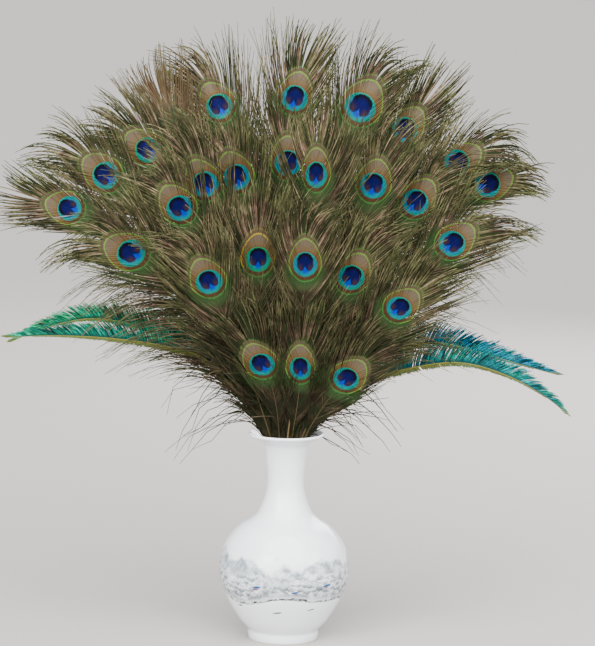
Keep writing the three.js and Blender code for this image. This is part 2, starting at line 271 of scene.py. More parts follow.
def spline(points, steps_each=40):
    """A uniform Catmull-Rom spline through the points, with its ends doubled."""
    points = np.array(points, float)
    padded = np.vstack([points[:1], points, points[-1:]])
    t = np.linspace(0, 1, steps_each, endpoint=False)[:, None]
    runs = []
    for a, b, c, d in zip(padded, padded[1:], padded[2:], padded[3:]):
        v, w = (c - a) / 2, (d - b) / 2
        runs.append((2 * b - 2 * c + v + w) * t**3 + (3 * c - 3 * b - 2 * v - w) * t**2 + v * t + b)
    return np.vstack([*runs, points[-1:]])


def eye_route(foot, target, lean):
    start = np.array([foot[0], CURVE_START_Z])
    chord = target - start
    chord_lean = math.degrees(math.atan2(chord[0], chord[1]))
    steepness = np.clip((2 * chord_lean - lean) / chord_lean, LEAST_START_LEAN, MOST_START_LEAN)
    start_lean = math.copysign(min(abs(chord_lean) * steepness, MAX_START_LEAN), chord_lean)
    handle = np.linalg.norm(chord) * HANDLE_SHARE
    end = heading(lean)
    bend = bezier(start, start + heading(start_lean) * handle, target - end * handle, target)
    return np.vstack([[foot[0], foot[2]], bend, target + end * SHAFT_PAST_EYE])


def sword_route(foot, places):
    bend = spline([(foot[0], CURVE_START_Z), *places])
    return np.vstack([[foot[0], foot[2]], bend])


def even_steps(route, spacing):
    """The route as points a spacing apart, and how far along it each one is."""
    gaps = np.linalg.norm(np.diff(route, axis=0), axis=1)
    lengths = np.concatenate([[0], np.cumsum(gaps)])
    along = np.linspace(0, lengths[-1], int(lengths[-1] / spacing) + 1)
    return np.column_stack([np.interp(along, lengths, route[:, i]) for i in (0, 1)]), along


def smoothstep(value, start, end):
    t = np.clip((value - start) / (end - start), 0, 1)
    return t * t * (3 - 2 * t)


def fan_radius(points):
    return np.hypot(points[:, 0], points[:, 1] - FAN_CENTRE_Z)


def depth(points, layer, row_y):
    """How deep each point of a layer lies, and how steeply the layer leans there."""
    radius = fan_radius(points)
    slope = math.tan(math.radians(FIRST_LAYER_LEAN + layer * LEAN_STEP))
    layer_y = FIRST_LAYER_Y + layer * LAYER_STEP + (radius - LAYER_RING) * slope
    share = smoothstep(radius, ROWS_END, LAYERS_START) * (points[:, 1] >= CURVE_START_Z)
    return row_y + (layer_y - row_y) * share


def shaft_frames(route, layer, row_y, spacing):
    """Points along a shaft with the directions ahead, to the right and to the front."""
    flat, along = even_steps(route, spacing)
    points = np.column_stack([flat[:, 0], depth(flat, layer, row_y), flat[:, 1]])
    ahead = np.gradient(points, axis=0)
    ahead /= np.linalg.norm(ahead, axis=1)[:, None]
    side = np.column_stack([ahead[:, 2], -ahead[:, 0]])
    side /= np.linalg.norm(side, axis=1)[:, None]
    nearby = depth(flat + side, layer, row_y) - depth(flat - side, layer, row_y)
    right = np.column_stack([side[:, 0], nearby / 2, side[:, 1]])
    right /= np.linalg.norm(right, axis=1)[:, None]
    face = np.cross(right, ahead)
    face *= np.sign(-face[:, 1:2])
    face /= np.linalg.norm(face, axis=1)[:, None]
    return {"points": points, "along": along, "ahead": ahead, "right": right, "face": face,
            "radius": fan_radius(flat)}


print("shaft curves ready")

# %% [markdown]
# ## Barbs
# A barb is a soft thread that leaves the shaft at an angle and bends towards the tip. One
# feather has hundreds, all made by one rule, so Geometry Nodes grow them. Blender's hair
# would be quicker to comb, but it isn't a closed mesh. The tree takes the shaft as a chain
# of points. Every point carries the directions, lengths and angles of its barbs as
# attributes. For each side the tree copies a short line onto each point, bends the copy
# between its first and its last direction, ruffles it a little, and gives it a flat
# three-sided section. The shaft itself becomes a tapering tube.

# %% Barb tree
BARB_POINTS = 8


def read(wiring, name, kind="FLOAT"):
    return wiring.result("GeometryNodeInputNamedAttribute", {"Name": name}, data_type=kind)


def read_vector(wiring, name):
    return read(wiring, name, "FLOAT_VECTOR")


def store(wiring, geometry, name, value, kind="FLOAT", domain="POINT"):
    made = wiring.node("GeometryNodeStoreNamedAttribute", {"Geometry": geometry, "Name": name},
                       data_type=kind, domain=domain)
    wiring.plug(made.inputs["Value"], value)
    return made.outputs[0]


def chance(wiring, seed, low=-1.0, high=1.0):
    """A random number for each barb."""
    made = wiring.node("FunctionNodeRandomValue", data_type="FLOAT")
    made.inputs[2].default_value = low
    made.inputs[3].default_value = high
    wiring.plug(made.inputs["Seed"], seed)
    return made.outputs[1]


def direction(wiring, angle, side):
    """Ahead, turned outward by an angle to that side of the shaft."""
    ahead = wiring.scaled(read_vector(wiring, "ahead"), wiring.math("COSINE", angle))
    across = wiring.times(wiring.math("SINE", angle), side)
    right = wiring.scaled(read_vector(wiring, "right"), across)
    return wiring.vector("ADD", ahead, right)


def new_group(name, kind, inputs, outputs):
    """An empty node group with named sockets, and its input and output nodes."""
    tree = bpy.data.node_groups.new(name, kind)
    for socket, socket_kind, value in inputs:
        made = tree.interface.new_socket(socket, in_out="INPUT", socket_type=socket_kind)
        if value is not None:
            made.default_value = value
    for socket, socket_kind in outputs:
        tree.interface.new_socket(socket, in_out="OUTPUT", socket_type=socket_kind)
    wiring = Wiring(tree)
    given = wiring.node("NodeGroupInput")
    result = wiring.node("NodeGroupOutput")
    return wiring, given.outputs, result.inputs


print("barb tree helpers ready")


# %% What each barb keeps from its root
LUCKS = ("luck_a", "luck_b", "luck_c", "luck_d", "luck_e", "tone")
THIN_SEED = 9.0
STRAY_SEED = 12.0
SHORTEST_BARB = 0.0015
UNIT_LINE = (0.0, 0.0, 0.001)


def pick_side(wiring, share, name):
    """The left or the right attribute of that name."""
    values = {0: share, 2: read(wiring, "left_" + name), 3: read(wiring, "right_" + name)}
    return wiring.result("ShaderNodeMix", values)


def keep_at_roots(wiring, shaft, share, seed):
    """Stores each barb's root, length, turn, curl, thinness and its own luck."""
    place = wiring.result("GeometryNodeInputPosition")
    roots = store(wiring, shaft, "root", place, "FLOAT_VECTOR")
    for name in ("length", "turn", "curl", "thin"):
        roots = store(wiring, roots, name, pick_side(wiring, share, name))
    for i, name in enumerate(LUCKS):
        roots = store(wiring, roots, name, chance(wiring, wiring.plus(seed, float(i + 1))))
    luck = chance(wiring, wiring.plus(seed, STRAY_SEED), 0.0, 1.0)
    stray = wiring.math("LESS_THAN", luck, pick_side(wiring, share, "stray"))
    return store(wiring, roots, "is_stray", stray)


def leave_out(wiring, roots, seed):
    """Takes away the roots that bear no barb."""
    bare = wiring.math("LESS_THAN", read(wiring, "length"), SHORTEST_BARB)
    luck = chance(wiring, wiring.plus(seed, THIN_SEED), 0.0, 1.0)
    lost = wiring.math("LESS_THAN", luck, read(wiring, "thin"))
    values = {"Geometry": roots, "Selection": wiring.math("MAXIMUM", bare, lost)}
    return wiring.result("GeometryNodeDeleteGeometry", values)


def lines_on(wiring, roots):
    """A short line on each root, which knows its share of the way from root to tip."""
    line = wiring.result("GeometryNodeCurvePrimitiveLine", {"End": UNIT_LINE})
    line = wiring.result("GeometryNodeResampleCurve", {"Curve": line, "Count": BARB_POINTS})
    way = wiring.node("GeometryNodeSplineParameter").outputs["Factor"]
    line = store(wiring, line, "way", way)
    values = {"Points": roots, "Instance": line}
    copies = wiring.result("GeometryNodeInstanceOnPoints", values)
    return wiring.result("GeometryNodeRealizeInstances", {"Geometry": copies})


print("barb roots ready")


# %% How a barb bends
# How far a wholly loose barb swings by luck, in radians, at its root and at its tip.
ROOT_SWING = 0.12
TIP_SWING = 0.2

# The share of its lock's turn that a barb takes at its root.
ROOT_TURN = 0.5

# How far a stray barb opens, in radians, at its root and at its tip, and how its luck
# changes that.
STRAY_ROOT = 0.75
STRAY_TIP = 1.3
STRAY_USUAL = 0.7
STRAY_LUCK = 0.5

# How far barbs sink under their own weight, against their length.
LOOSE_DROOP = 0.05
STRAY_DROOP = 0.2

# The hook at the tip, against the barb's length.
HOOK_OF_ALL = 0.08
HOOK_OF_LOOSE = 0.1
HOOK_LUCK_POWER = 3.0
HOOK_POWER = 4.0
HOOK_BACK = -0.6


def barb_angles(wiring, stray):
    """The barb's first and last angle from the shaft."""
    loose, turn = read(wiring, "loose"), read(wiring, "turn")
    swing = wiring.times(loose, read(wiring, "luck_a"))
    bend = wiring.times(loose, read(wiring, "luck_b"))
    first = wiring.times_plus(swing, ROOT_SWING, read(wiring, "sweep"))
    first = wiring.times_plus(turn, ROOT_TURN, first)
    last = wiring.times_plus(bend, TIP_SWING, read(wiring, "sweep_end"))
    last = wiring.plus(last, turn)
    return wiring.times_plus(stray, STRAY_ROOT, first), wiring.times_plus(stray, STRAY_TIP, last)


def hook(wiring, side, way):
    """The sideways hook near a barb's tip."""
    luck = wiring.math("POWER", read(wiring, "luck_e"), HOOK_LUCK_POWER)
    most = wiring.times_plus(read(wiring, "loose"), HOOK_OF_LOOSE, HOOK_OF_ALL)
    curl = wiring.times_plus(luck, most, read(wiring, "curl"))
    size = wiring.times(curl, wiring.math("POWER", way, HOOK_POWER))
    across = wiring.scaled(read_vector(wiring, "right"), wiring.times(size, side))
    back = wiring.times(wiring.math("ABSOLUTE", size), HOOK_BACK)
    return wiring.vector("ADD", across, wiring.scaled(read_vector(wiring, "ahead"), back))


def barb_reach(wiring, side, way):
    """Where each point of a barb of length one lies from its root."""
    luck = read(wiring, "luck_c")
    opening = wiring.times_plus(luck, STRAY_LUCK, STRAY_USUAL)
    stray = wiring.times(read(wiring, "is_stray"), opening)
    first, last = barb_angles(wiring, stray)
    square = wiring.times(way, way)
    half_square = wiring.times(square, 0.5)
    start_share = wiring.minus(way, half_square)
    start_reach = wiring.scaled(direction(wiring, first, side), start_share)
    end_reach = wiring.scaled(direction(wiring, last, side), half_square)
    lift = wiring.times(luck, read(wiring, "lift"), square)
    loose_droop = wiring.times(read(wiring, "loose"), LOOSE_DROOP)
    droop = wiring.times_plus(stray, STRAY_DROOP, loose_droop)
    fall = wiring.joined({"Z": wiring.times(droop, square, -1.0)})
    rise = wiring.scaled(read_vector(wiring, "face"), lift)
    reach = wiring.vector("ADD", start_reach, end_reach)
    for shift in (hook(wiring, side, way), rise, fall):
        reach = wiring.vector("ADD", reach, shift)
    return reach


# %% How a barb waves, and its section
# How many waves a metre holds, and how much more stray barbs wave.
WAVE_SCALE = 16.0
STRAY_WAVE_SCALE = 18.0
STRAY_RUFFLE = 4.0
NOISE_MIDDLE = (0.5, 0.5, 0.5)

# Barbs of unlike tones lie this far apart in the wave pattern, in metres.
TONE_SHIFT = 3.0

# The section is a triangle squeezed flat. It gets thinner towards the barb's tip, and on
# stray barbs it is wider. Stray barbs are also shorter.
SECTION_SIDES = 3
SECTION_SCALE = (0.2, 0.6, 1.0)
TAPER_POWER = 2.4
TIP_THINNER = -0.62
STRAY_WIDER = 0.2
STRAY_SHORTER = -0.22


def ruffled(wiring, place, way, ruffle):
    """Waves the barbs a little, and stray ones a lot."""
    stray = read(wiring, "is_stray")
    own = wiring.joined({"X": wiring.times(read(wiring, "tone"), TONE_SHIFT)})
    wave_scale = wiring.times_plus(stray, STRAY_WAVE_SCALE, WAVE_SCALE)
    wave = wiring.noise(wiring.vector("ADD", place, own), wave_scale, 1.0).outputs["Color"]
    wave = wiring.vector("SUBTRACT", wave, NOISE_MIDDLE)
    more = wiring.times_plus(stray, STRAY_RUFFLE, 1.0)
    size = wiring.times(way, ruffle, read(wiring, "loose"), more)
    return wiring.vector("ADD", place, wiring.scaled(wave, size))


def give_section(wiring, barbs, way):
    """A flat three-sided section that thins out to the tip."""
    values = {"Curve": barbs, "Normal": read_vector(wiring, "face")}
    barbs = wiring.result("GeometryNodeSetCurveNormal", values, mode="FREE")
    values = {"Resolution": SECTION_SIDES, "Radius": 1.0}
    section = wiring.result("GeometryNodeCurvePrimitiveCircle", values)
    values = {"Geometry": section, "Scale": SECTION_SCALE}
    section = wiring.result("GeometryNodeTransform", values)
    taper = wiring.times_plus(wiring.math("POWER", way, TAPER_POWER), TIP_THINNER, 1.0)
    wider = wiring.times_plus(read(wiring, "is_stray"), STRAY_WIDER, 1.0)
    scale = wiring.times(read(wiring, "width"), taper, wider)
    values = {"Curve": barbs, "Profile Curve": section, "Scale": scale, "Fill Caps": True}
    return wiring.result("GeometryNodeCurveToMesh", values)


def make_side_group():
    """Grows the barbs of one side. Side is 1 for the right and -1 for the left."""
    wiring, given, result = new_group("barbs of one side", "GeometryNodeTree", [
        ("Shaft", "NodeSocketGeometry", None), ("Side", "NodeSocketFloat", 1.0),
        ("Ruffle", "NodeSocketFloat", 0.004), ("Seed", "NodeSocketInt", 0),
    ], [("Barbs", "NodeSocketGeometry")])
    side, seed = given["Side"], given["Seed"]
    share = wiring.times_plus(side, 0.5, 0.5)
    roots = keep_at_roots(wiring, given["Shaft"], share, seed)
    barbs = lines_on(wiring, leave_out(wiring, roots, seed))
    way = read(wiring, "way")
    uneven = wiring.times_plus(read(wiring, "luck_d"), read(wiring, "uneven"), 1.0)
    shorter = wiring.times_plus(read(wiring, "is_stray"), STRAY_SHORTER, 1.0)
    size = wiring.times(uneven, read(wiring, "length"), shorter)
    reach = wiring.scaled(barb_reach(wiring, side, way), size)
    place = wiring.vector("ADD", read_vector(wiring, "root"), reach)
    place = ruffled(wiring, place, way, given["Ruffle"])
    barbs = wiring.result("GeometryNodeSetPosition", {"Geometry": barbs, "Position": place})
    wiring.plug(result["Barbs"], give_section(wiring, barbs, way))
    return wiring.tree


SIDE_GROUP = make_side_group()
print("side group:", len(SIDE_GROUP.nodes), "nodes")

# %% The whole feather
QUILL_SIDES = 6
QUILL_POINTS = 46
SEED_APART = 20.0


def painted(wiring, geometry, material):
    values = {"Geometry": geometry, "Material": material}
    return wiring.result("GeometryNodeSetMaterial", values)


def barbs_of_side(wiring, curve, side, given):
    """The barbs of one side, in their material."""
    values = {"Shaft": curve, "Side": side, "Ruffle": given["Ruffle"],
              "Seed": wiring.plus(given["Seed"], SEED_APART * side)}
    made = wiring.node("GeometryNodeGroup", values, node_tree=SIDE_GROUP)
    return painted(wiring, made.outputs["Barbs"], given["Barb Material"])


def shaft_tube(wiring, curve, given):
    """The shaft's own tapering tube, in its material."""
    values = {"Curve": curve, "Count": QUILL_POINTS}
    tube = wiring.result("GeometryNodeResampleCurve", values)
    values = {"Resolution": QUILL_SIDES, "Radius": 1.0}
    ring = wiring.result("GeometryNodeCurvePrimitiveCircle", values)
    values = {"Curve": tube, "Profile Curve": ring, "Scale": read(wiring, "quill"),
              "Fill Caps": True}
    tube = wiring.result("GeometryNodeCurveToMesh", values)
    return painted(wiring, tube, given["Shaft Material"])


def make_feather_tree():
    """Barbs on both sides and the shaft's own tube, as one mesh with two materials."""
    wiring, given, result = new_group("feather", "GeometryNodeTree", [
        ("Geometry", "NodeSocketGeometry", None), ("Ruffle", "NodeSocketFloat", 0.006),
        ("Seed", "NodeSocketInt", 0), ("Barb Material", "NodeSocketMaterial", None),
        ("Shaft Material", "NodeSocketMaterial", None),
    ], [("Geometry", "NodeSocketGeometry")])
    curve = wiring.result("GeometryNodeMeshToCurve", {"Mesh": given["Geometry"]})
    join = wiring.node("GeometryNodeJoinGeometry")
    for side in (-1.0, 1.0):
        wiring.plug(join.inputs[0], barbs_of_side(wiring, curve, side, given))
    wiring.plug(join.inputs[0], shaft_tube(wiring, curve, given))
    whole = wiring.result("GeometryNodeRealizeInstances", {"Geometry": join.outputs[0]})
    wiring.plug(result["Geometry"], whole)
    return wiring.tree


FEATHER_TREE = make_feather_tree()
print("feather tree:", len(FEATHER_TREE.nodes), "nodes")


# %% Growing a feather
def shaft_mesh(name, frames, attributes):
    """The shaft as a chain of points that carries the barbs' sizes as attributes."""
    mesh = bpy.data.meshes.new(name)
    count = len(frames["points"])
    mesh.from_pydata(frames["points"] * MM, [(i, i + 1) for i in range(count - 1)], [])
    for key in ("ahead", "right", "face"):
        layer = mesh.attributes.new(key, "FLOAT_VECTOR", "POINT")
        layer.data.foreach_set("vector", frames[key].astype(np.float32).ravel())
    for key, values in attributes.items():
        layer = mesh.attributes.new(key, "FLOAT", "POINT")
        layer.data.foreach_set("value", np.broadcast_to(values, count).astype(np.float32))
    return mesh


def set_inputs(modifier, values):
    sockets = {s.name: s.identifier for s in modifier.node_group.interface.items_tree
               if s.item_type == "SOCKET" and s.in_out == "INPUT"}
    for name, value in values.items():
        modifier[sockets[name]] = value


def plain_mesh(holder, name):
    """The modifier's result as a mesh of its own, on an object with no modifier."""
    graph = bpy.context.evaluated_depsgraph_get()
    mesh = bpy.data.meshes.new_from_object(
        holder.evaluated_get(graph), preserve_all_data_layers=True, depsgraph=graph)
    mesh.name = name
    bpy.data.objects.remove(holder)
    return add_object(name, mesh)


def grow(name, shaft, values):
    holder = add_object(name + "_shaft", shaft)
    modifier = holder.modifiers.new("barbs", "NODES")
    modifier.node_group = FEATHER_TREE
    set_inputs(modifier, values)
    return plain_mesh(holder, name)


def smooth(mesh):
    mesh.polygons.foreach_set("use_smooth", np.ones(len(mesh.polygons), bool))


def corner_data(mesh):
    """Each face corner's place, and whether its face looks to the front."""
    points = np.empty(len(mesh.vertices) * 3)
    mesh.vertices.foreach_get("co", points)
    points = points.reshape(-1, 3)
    corners = np.empty(len(mesh.loops), int)
    mesh.loops.foreach_get("vertex_index", corners)
    normals = np.empty(len(mesh.polygons) * 3)
    mesh.polygons.foreach_get("normal", normals)
    sizes = np.empty(len(mesh.polygons), int)
    mesh.polygons.foreach_get("loop_total", sizes)
    front = np.repeat(normals.reshape(-1, 3)[:, 1] < 0, sizes)
    return points, corners, front


def set_uv(mesh, name, values):
    layer = mesh.uv_layers.new(name=name)
    layer.uv.foreach_set("vector", values.astype(np.float32).ravel())


# %% Maps on a feather
MAP_MARGIN = 0.01


def lay_flat(mesh):
    """One map of the feather laid flat, its front in the left half, its back in the right."""
    points, corners, front = corner_data(mesh)
    flat = points[corners][:, [0, 2]]
    low, high = flat.min(0), flat.max(0)
    share = (flat - low) / (high - low).max() * (1 - 2 * MAP_MARGIN) + MAP_MARGIN
    share[:, 0] = share[:, 0] * 0.5 + np.where(front, 0.0, 0.5)
    set_uv(mesh, "OFBake", share)


def mark_eye(mesh, centre, ahead, right, size):
    """Each corner's place from the eye's middle, across and along, for an eye of usual size."""
    points, corners, _ = corner_data(mesh)
    offset = points[corners] / MM - centre
    set_uv(mesh, "eye_place", np.column_stack([offset @ right, offset @ ahead]) / size)


print("growing helpers ready")

# %% [markdown]
# ## The eye's colours
# The eye at the tip is drawn by colour alone: every barb that crosses it changes colour at
# the right places, and together they make one picture. It could be painted by hand. Here it
# is a formula, because all the eyes share one plan and the pattern has to run across
# hundreds of barbs. The group gets each point's place from the middle of the eye in
# millimetres. From inside out it draws a dark kidney with a notch, a turquoise disc, a
# bronze egg, thin yellow and grey outlines, and a green halo.

# %% Eye colours
BLACK_BLUE = ink(8, 6, 16)
NAVY = ink(6, 8, 60)
PLUM = ink(46, 32, 42)
BRIGHT_BLUE = ink(0, 44, 144)
CYAN = ink(0, 82, 142)
TURQUOISE = ink(0, 104, 110)
EMERALD = ink(0, 112, 66)
COPPER = ink(86, 54, 30)
TAN_GOLD = ink(92, 74, 44)
ROSE_GREY = ink(90, 80, 66)
DARK_BRONZE = ink(64, 46, 30)
LINE_BROWN = ink(66, 48, 28)
YELLOW_GREEN = ink(92, 124, 48)
BASE_GREEN = ink(48, 98, 46)
GOLD_LINE = ink(150, 128, 26)
MAUVE_GREY = ink(70, 60, 46)
LEAF_GREEN = ink(42, 60, 32)

# The eye's ovals in millimetres: how far out and how far up the middle is, half the width
# and half the length.
KIDNEY_CROWN = (0.0, 4.2, 9.6, 8.4)
KIDNEY_LOBE = (4.4, -0.4, 5.3, 6.9)
KIDNEY_RIM = (0.0, 2.0, 10.2, 10.4)
FLAME = (0.0, -5.2, 5.2, 6.6)
DISC = (0.0, 0.0, 14.6, 13.8)

# The notch under the kidney: its slope and its top.
NOTCH_SLOPE = -1.6
NOTCH_TOP = -1.8

# The bronze egg narrows upwards from the eye's middle.
EGG_HALF_WIDTH = 19.4
EGG_NARROWING = -0.17
EGG_MIDDLE = 4.6
EGG_HALF_LENGTH = 23.2
EGG_MEAN_RADIUS = 21.0

# The outlines begin this far outside the egg, in millimetres.
LINE_AT, BAND_AT, SECOND_LINE_AT, HALO_AT = -0.2, 1.1, 4.8, 5.9
OUTLINE_BLUR = 0.5
SECOND_LINE_SHARE = 0.4

# How far the halo reaches outside the egg in millimetres, above the eye and below it.
HALO_ABOVE = 9.0
HALO_BELOW = 15.0

# How far the picture shifts along the eye from barb to barb, in millimetres.
BARB_JITTER = 0.5


def split_place(wiring, place, jitter):
    """Across and along the eye, shifted a little from barb to barb."""
    parts = wiring.parts(place)
    across = wiring.math("ABSOLUTE", parts["X"])
    return across, wiring.times_plus(jitter, BARB_JITTER, parts["Y"])


def oval(wiring, across, along, shape):
    """Grows from 0 in the middle to 1 on the edge of an oval."""
    side, middle, half_width, half_length = shape
    x = wiring.math("DIVIDE", wiring.minus(across, side), half_width)
    y = wiring.math("DIVIDE", wiring.minus(along, middle), half_length)
    return wiring.math("SQRT", wiring.times_plus(y, y, wiring.times(x, x)))


def kidney_colors(wiring, across, along):
    """The dark kidney with two lobes and a notch, and how much of the disc it covers."""
    crown = oval(wiring, across, along, KIDNEY_CROWN)
    lobe = oval(wiring, across, along, KIDNEY_LOBE)
    body = wiring.step(wiring.math("MINIMUM", crown, lobe), 1.06, 0.94)
    notch_edge = wiring.times_plus(across, NOTCH_SLOPE, NOTCH_TOP)
    notch = wiring.step(wiring.minus(notch_edge, along), -0.6, 1.2)
    cover = wiring.times(body, wiring.minus(1.0, notch))
    in_lobe = wiring.times(wiring.step(along, 3.0, -4.0), wiring.step(across, 1.0, 6.0))
    side_rim = wiring.times(wiring.step(across, 6.0, 9.5), 0.6)
    top_rim = wiring.times(wiring.step(oval(wiring, across, along, KIDNEY_RIM), 0.45, 0.9),
                           wiring.step(along, 1.0, 7.0))
    color = wiring.mix(wiring.math("MAXIMUM", in_lobe, side_rim), NAVY, PLUM)
    return wiring.mix(top_rim, color, BLACK_BLUE), cover


def disc_colors(wiring, across, along, tint, place):
    """Bright blue by the notch, cyan inside and turquoise or emerald at the rim."""
    rim = wiring.mix(tint, EMERALD, TURQUOISE)
    inner = wiring.mix(tint, TURQUOISE, CYAN)
    color = wiring.mix(wiring.step(place, 0.6, 0.97), inner, rim)
    flame = wiring.step(oval(wiring, across, along, FLAME), 1.05, 0.35)
    color = wiring.mix(flame, color, BRIGHT_BLUE)
    kidney, cover = kidney_colors(wiring, across, along)
    return wiring.mix(cover, color, kidney)


def bronze_colors(wiring, along, disc_place, streak):
    """Tan above the disc, rosy grey at the tip, copper by the disc and dark below it."""
    color = wiring.mix(wiring.step(along, 10.0, 25.0), TAN_GOLD, ROSE_GREY)
    near_disc = wiring.step(disc_place, 1.2, 1.03)
    color = wiring.mix(wiring.times(near_disc, 0.5), color, COPPER)
    color = wiring.mix(wiring.step(along, 3.0, -11.0), color, DARK_BRONZE)
    lines = wiring.times(wiring.step(streak, 0.35, 0.9), 0.5)
    return wiring.mix(lines, color, LINE_BROWN)


def egg_distance(wiring, across, along):
    """Millimetres outside the bronze egg, which is narrower at its tip."""
    above = wiring.math("MAXIMUM", along, 0.0)
    half_width = wiring.times_plus(above, EGG_NARROWING, EGG_HALF_WIDTH)
    x = wiring.math("DIVIDE", across, half_width)
    y = wiring.math("DIVIDE", wiring.minus(along, EGG_MIDDLE), EGG_HALF_LENGTH)
    egg = wiring.math("SQRT", wiring.times_plus(x, x, wiring.times(y, y)))
    return wiring.times(wiring.minus(egg, 1.0), EGG_MEAN_RADIUS)


def ring_colors(wiring, color, outside, along, tint):
    """A thin bright line, a grey band and a faint second line around the egg."""
    line = wiring.mix(wiring.step(tint, 0.3, 0.12), YELLOW_GREEN, GOLD_LINE)
    line = wiring.mix(wiring.step(along, -2.0, -16.0), line, BASE_GREEN)
    band = wiring.mix(wiring.step(along, -10.0, 8.0), LEAF_GREEN, MAUVE_GREY)
    above = wiring.times(wiring.step(along, 12.0, 26.0), SECOND_LINE_SHARE)
    second = wiring.mix(above, LEAF_GREEN, line)
    rings = ((LINE_AT, line), (BAND_AT, band), (SECOND_LINE_AT, second), (HALO_AT, LEAF_GREEN))
    for start, paint in rings:
        inside = wiring.step(outside, start - OUTLINE_BLUR, start + OUTLINE_BLUR)
        color = wiring.mix(inside, color, paint)
    return color


def fade_into_barbs(wiring, outside, along, streak):
    """How far the eye's picture has given way to the barb's own colour."""
    reach = wiring.step(along, 6.0, -14.0, HALO_ABOVE, HALO_BELOW)
    fade = wiring.step(wiring.math("DIVIDE", outside, reach), 0.3, 1.0)
    streaky = wiring.math("ADD", fade, wiring.times(streak, 0.5), clamp=True)
    return wiring.times(streaky, wiring.step(outside, 2.0, 6.0))


def make_eye_group():
    wiring, given, result = new_group("peacock eye", "ShaderNodeTree", [
        ("Place", "NodeSocketVector", None), ("Tint", "NodeSocketFloat", 0.5),
        ("Streak", "NodeSocketFloat", 0.0), ("Barb Color", "NodeSocketColor", None),
    ], [("Color", "NodeSocketColor"), ("Gloss", "NodeSocketFloat")])
    tint, streak = given["Tint"], given["Streak"]
    across, along = split_place(wiring, given["Place"], streak)
    disc_place = oval(wiring, across, along, DISC)
    disc = disc_colors(wiring, across, along, tint, disc_place)
    outside = egg_distance(wiring, across, along)
    around = bronze_colors(wiring, along, disc_place, streak)
    around = ring_colors(wiring, around, outside, along, tint)
    fade = fade_into_barbs(wiring, outside, along, streak)
    around = wiring.mix(fade, around, given["Barb Color"])
    wiring.plug(result["Color"], wiring.mix(wiring.step(disc_place, 0.97, 1.03), disc, around))
    wiring.plug(result["Gloss"], wiring.step(outside, 1.5, -0.5))
    return wiring.tree


EYE_GROUP = make_eye_group()
print("eye group:", len(EYE_GROUP.nodes), "nodes")

# %% [markdown]
# ## Barb colours
# Loose barbs are olive, khaki and dark brown, with a few pale ones between, and duller
# brown on the back. The darkest and the palest barbs stand partly for painted shade between
# the strands and painted highlights on them. One colour with noise on it would look like
# painted wood. Each barb got its own random tone when it grew, and a shared group turns that
# tone, and the way from root to tip, into the colour of the thread. The group also paints
# light and shade on it: highlights and shade in dashes along each barb, shade at the roots by
# the shaft, and shade at the foot of the fan, where many barbs overlap. The sword feathers
# use the same group with inks of their own, between emerald and teal.

# %% Barb colours
# Dark stands partly for painted shade between the strands, and Pale partly for painted highlights
# on them.
EYE_BARB_INKS = {
    "Dark": ink(22, 17, 13), "Middle": ink(92, 75, 60), "Green": ink(68, 74, 42),
    "Pale": ink(124, 108, 86), "Tip": ink(92, 98, 62),
}
EYE_PALE_SHARE = 0.12
BACK_BROWN = ink(96, 78, 56)
BACK_TEAL = ink(4, 52, 40)

# The sword feathers' inks, each at the green end of the tint and at the blue end.
SWORD_INKS = {
    "Dark": (ink(0, 62, 48), ink(0, 58, 70)),
    "Middle": (ink(0, 140, 90), ink(0, 126, 156)),
    "Green": (ink(10, 150, 66), ink(0, 140, 120)),
    "Pale": (ink(0, 176, 124), ink(0, 140, 186)),
    "Tip": (ink(10, 150, 84), ink(0, 132, 158)),
}
SWORD_PALE_SHARE = 0.22
STUB_OLIVE = ink(96, 96, 30)
SWORD_BACK = ink(60, 56, 34)

# The scales of the noises, in grains per metre.
PATCH_SCALE = 30.0
SHEAF_SCALE = 55.0

# The painted highlights and shade along each barb: how many dashes it has, and how far
# apart unlike tones lie.
PAINTED_LIGHT_DASHES = 11.0
DASH_SHIFT = 60.0

# How dark and how light each of them makes a barb. The dashes are painted highlights and
# shade, and the root and the foot of the fan get painted shade.
DASH_PAINTED_LIGHT = (0.6, 1.3)
ROOT_PAINTED_SHADE = (0.55, 1.0)
SHEAF_SHADES = (0.62, 1.25)
FOOT_PAINTED_SHADE = (0.34, 1.0)

# The painted shade at the foot of the fan, where many barbs overlap, is darkest inside the
# first distance from the fan's centre, and no longer darkens from the second one on, in metres.
FOOT_PAINTED_SHADE_RADII = (0.09, 0.31)


def attribute(wiring, name):
    return wiring.node("ShaderNodeAttribute", attribute_name=name).outputs["Fac"]


def grey(wiring, value):
    return wiring.joined({"X": value, "Y": value, "Z": value})


def thread_color(wiring, given, tone, way, place):
    """Dark, middle, green or pale by the barb's own tone, with another colour at its tip.
    On the eye barbs the dark and pale tones stand partly for painted shade and highlights.
    """
    patch = wiring.noise(place, PATCH_SCALE, 2.0).outputs["Fac"]
    color = wiring.mix(wiring.step(tone, -0.65, 0.45), given["Dark"], given["Middle"])
    green = wiring.times(wiring.step(patch, 0.44, 0.6), wiring.step(tone, -0.6, 0.2), 0.7)
    color = wiring.mix(green, color, given["Green"])
    edge = wiring.times_plus(given["Pale Share"], -2.0, 1.0)
    pale = wiring.times(wiring.step(tone, edge, wiring.plus(edge, 0.12)), 0.8)
    color = wiring.mix(pale, color, given["Pale"])
    return wiring.mix(wiring.times(wiring.step(way, 0.55, 1.0), 0.6), color, given["Tip"])


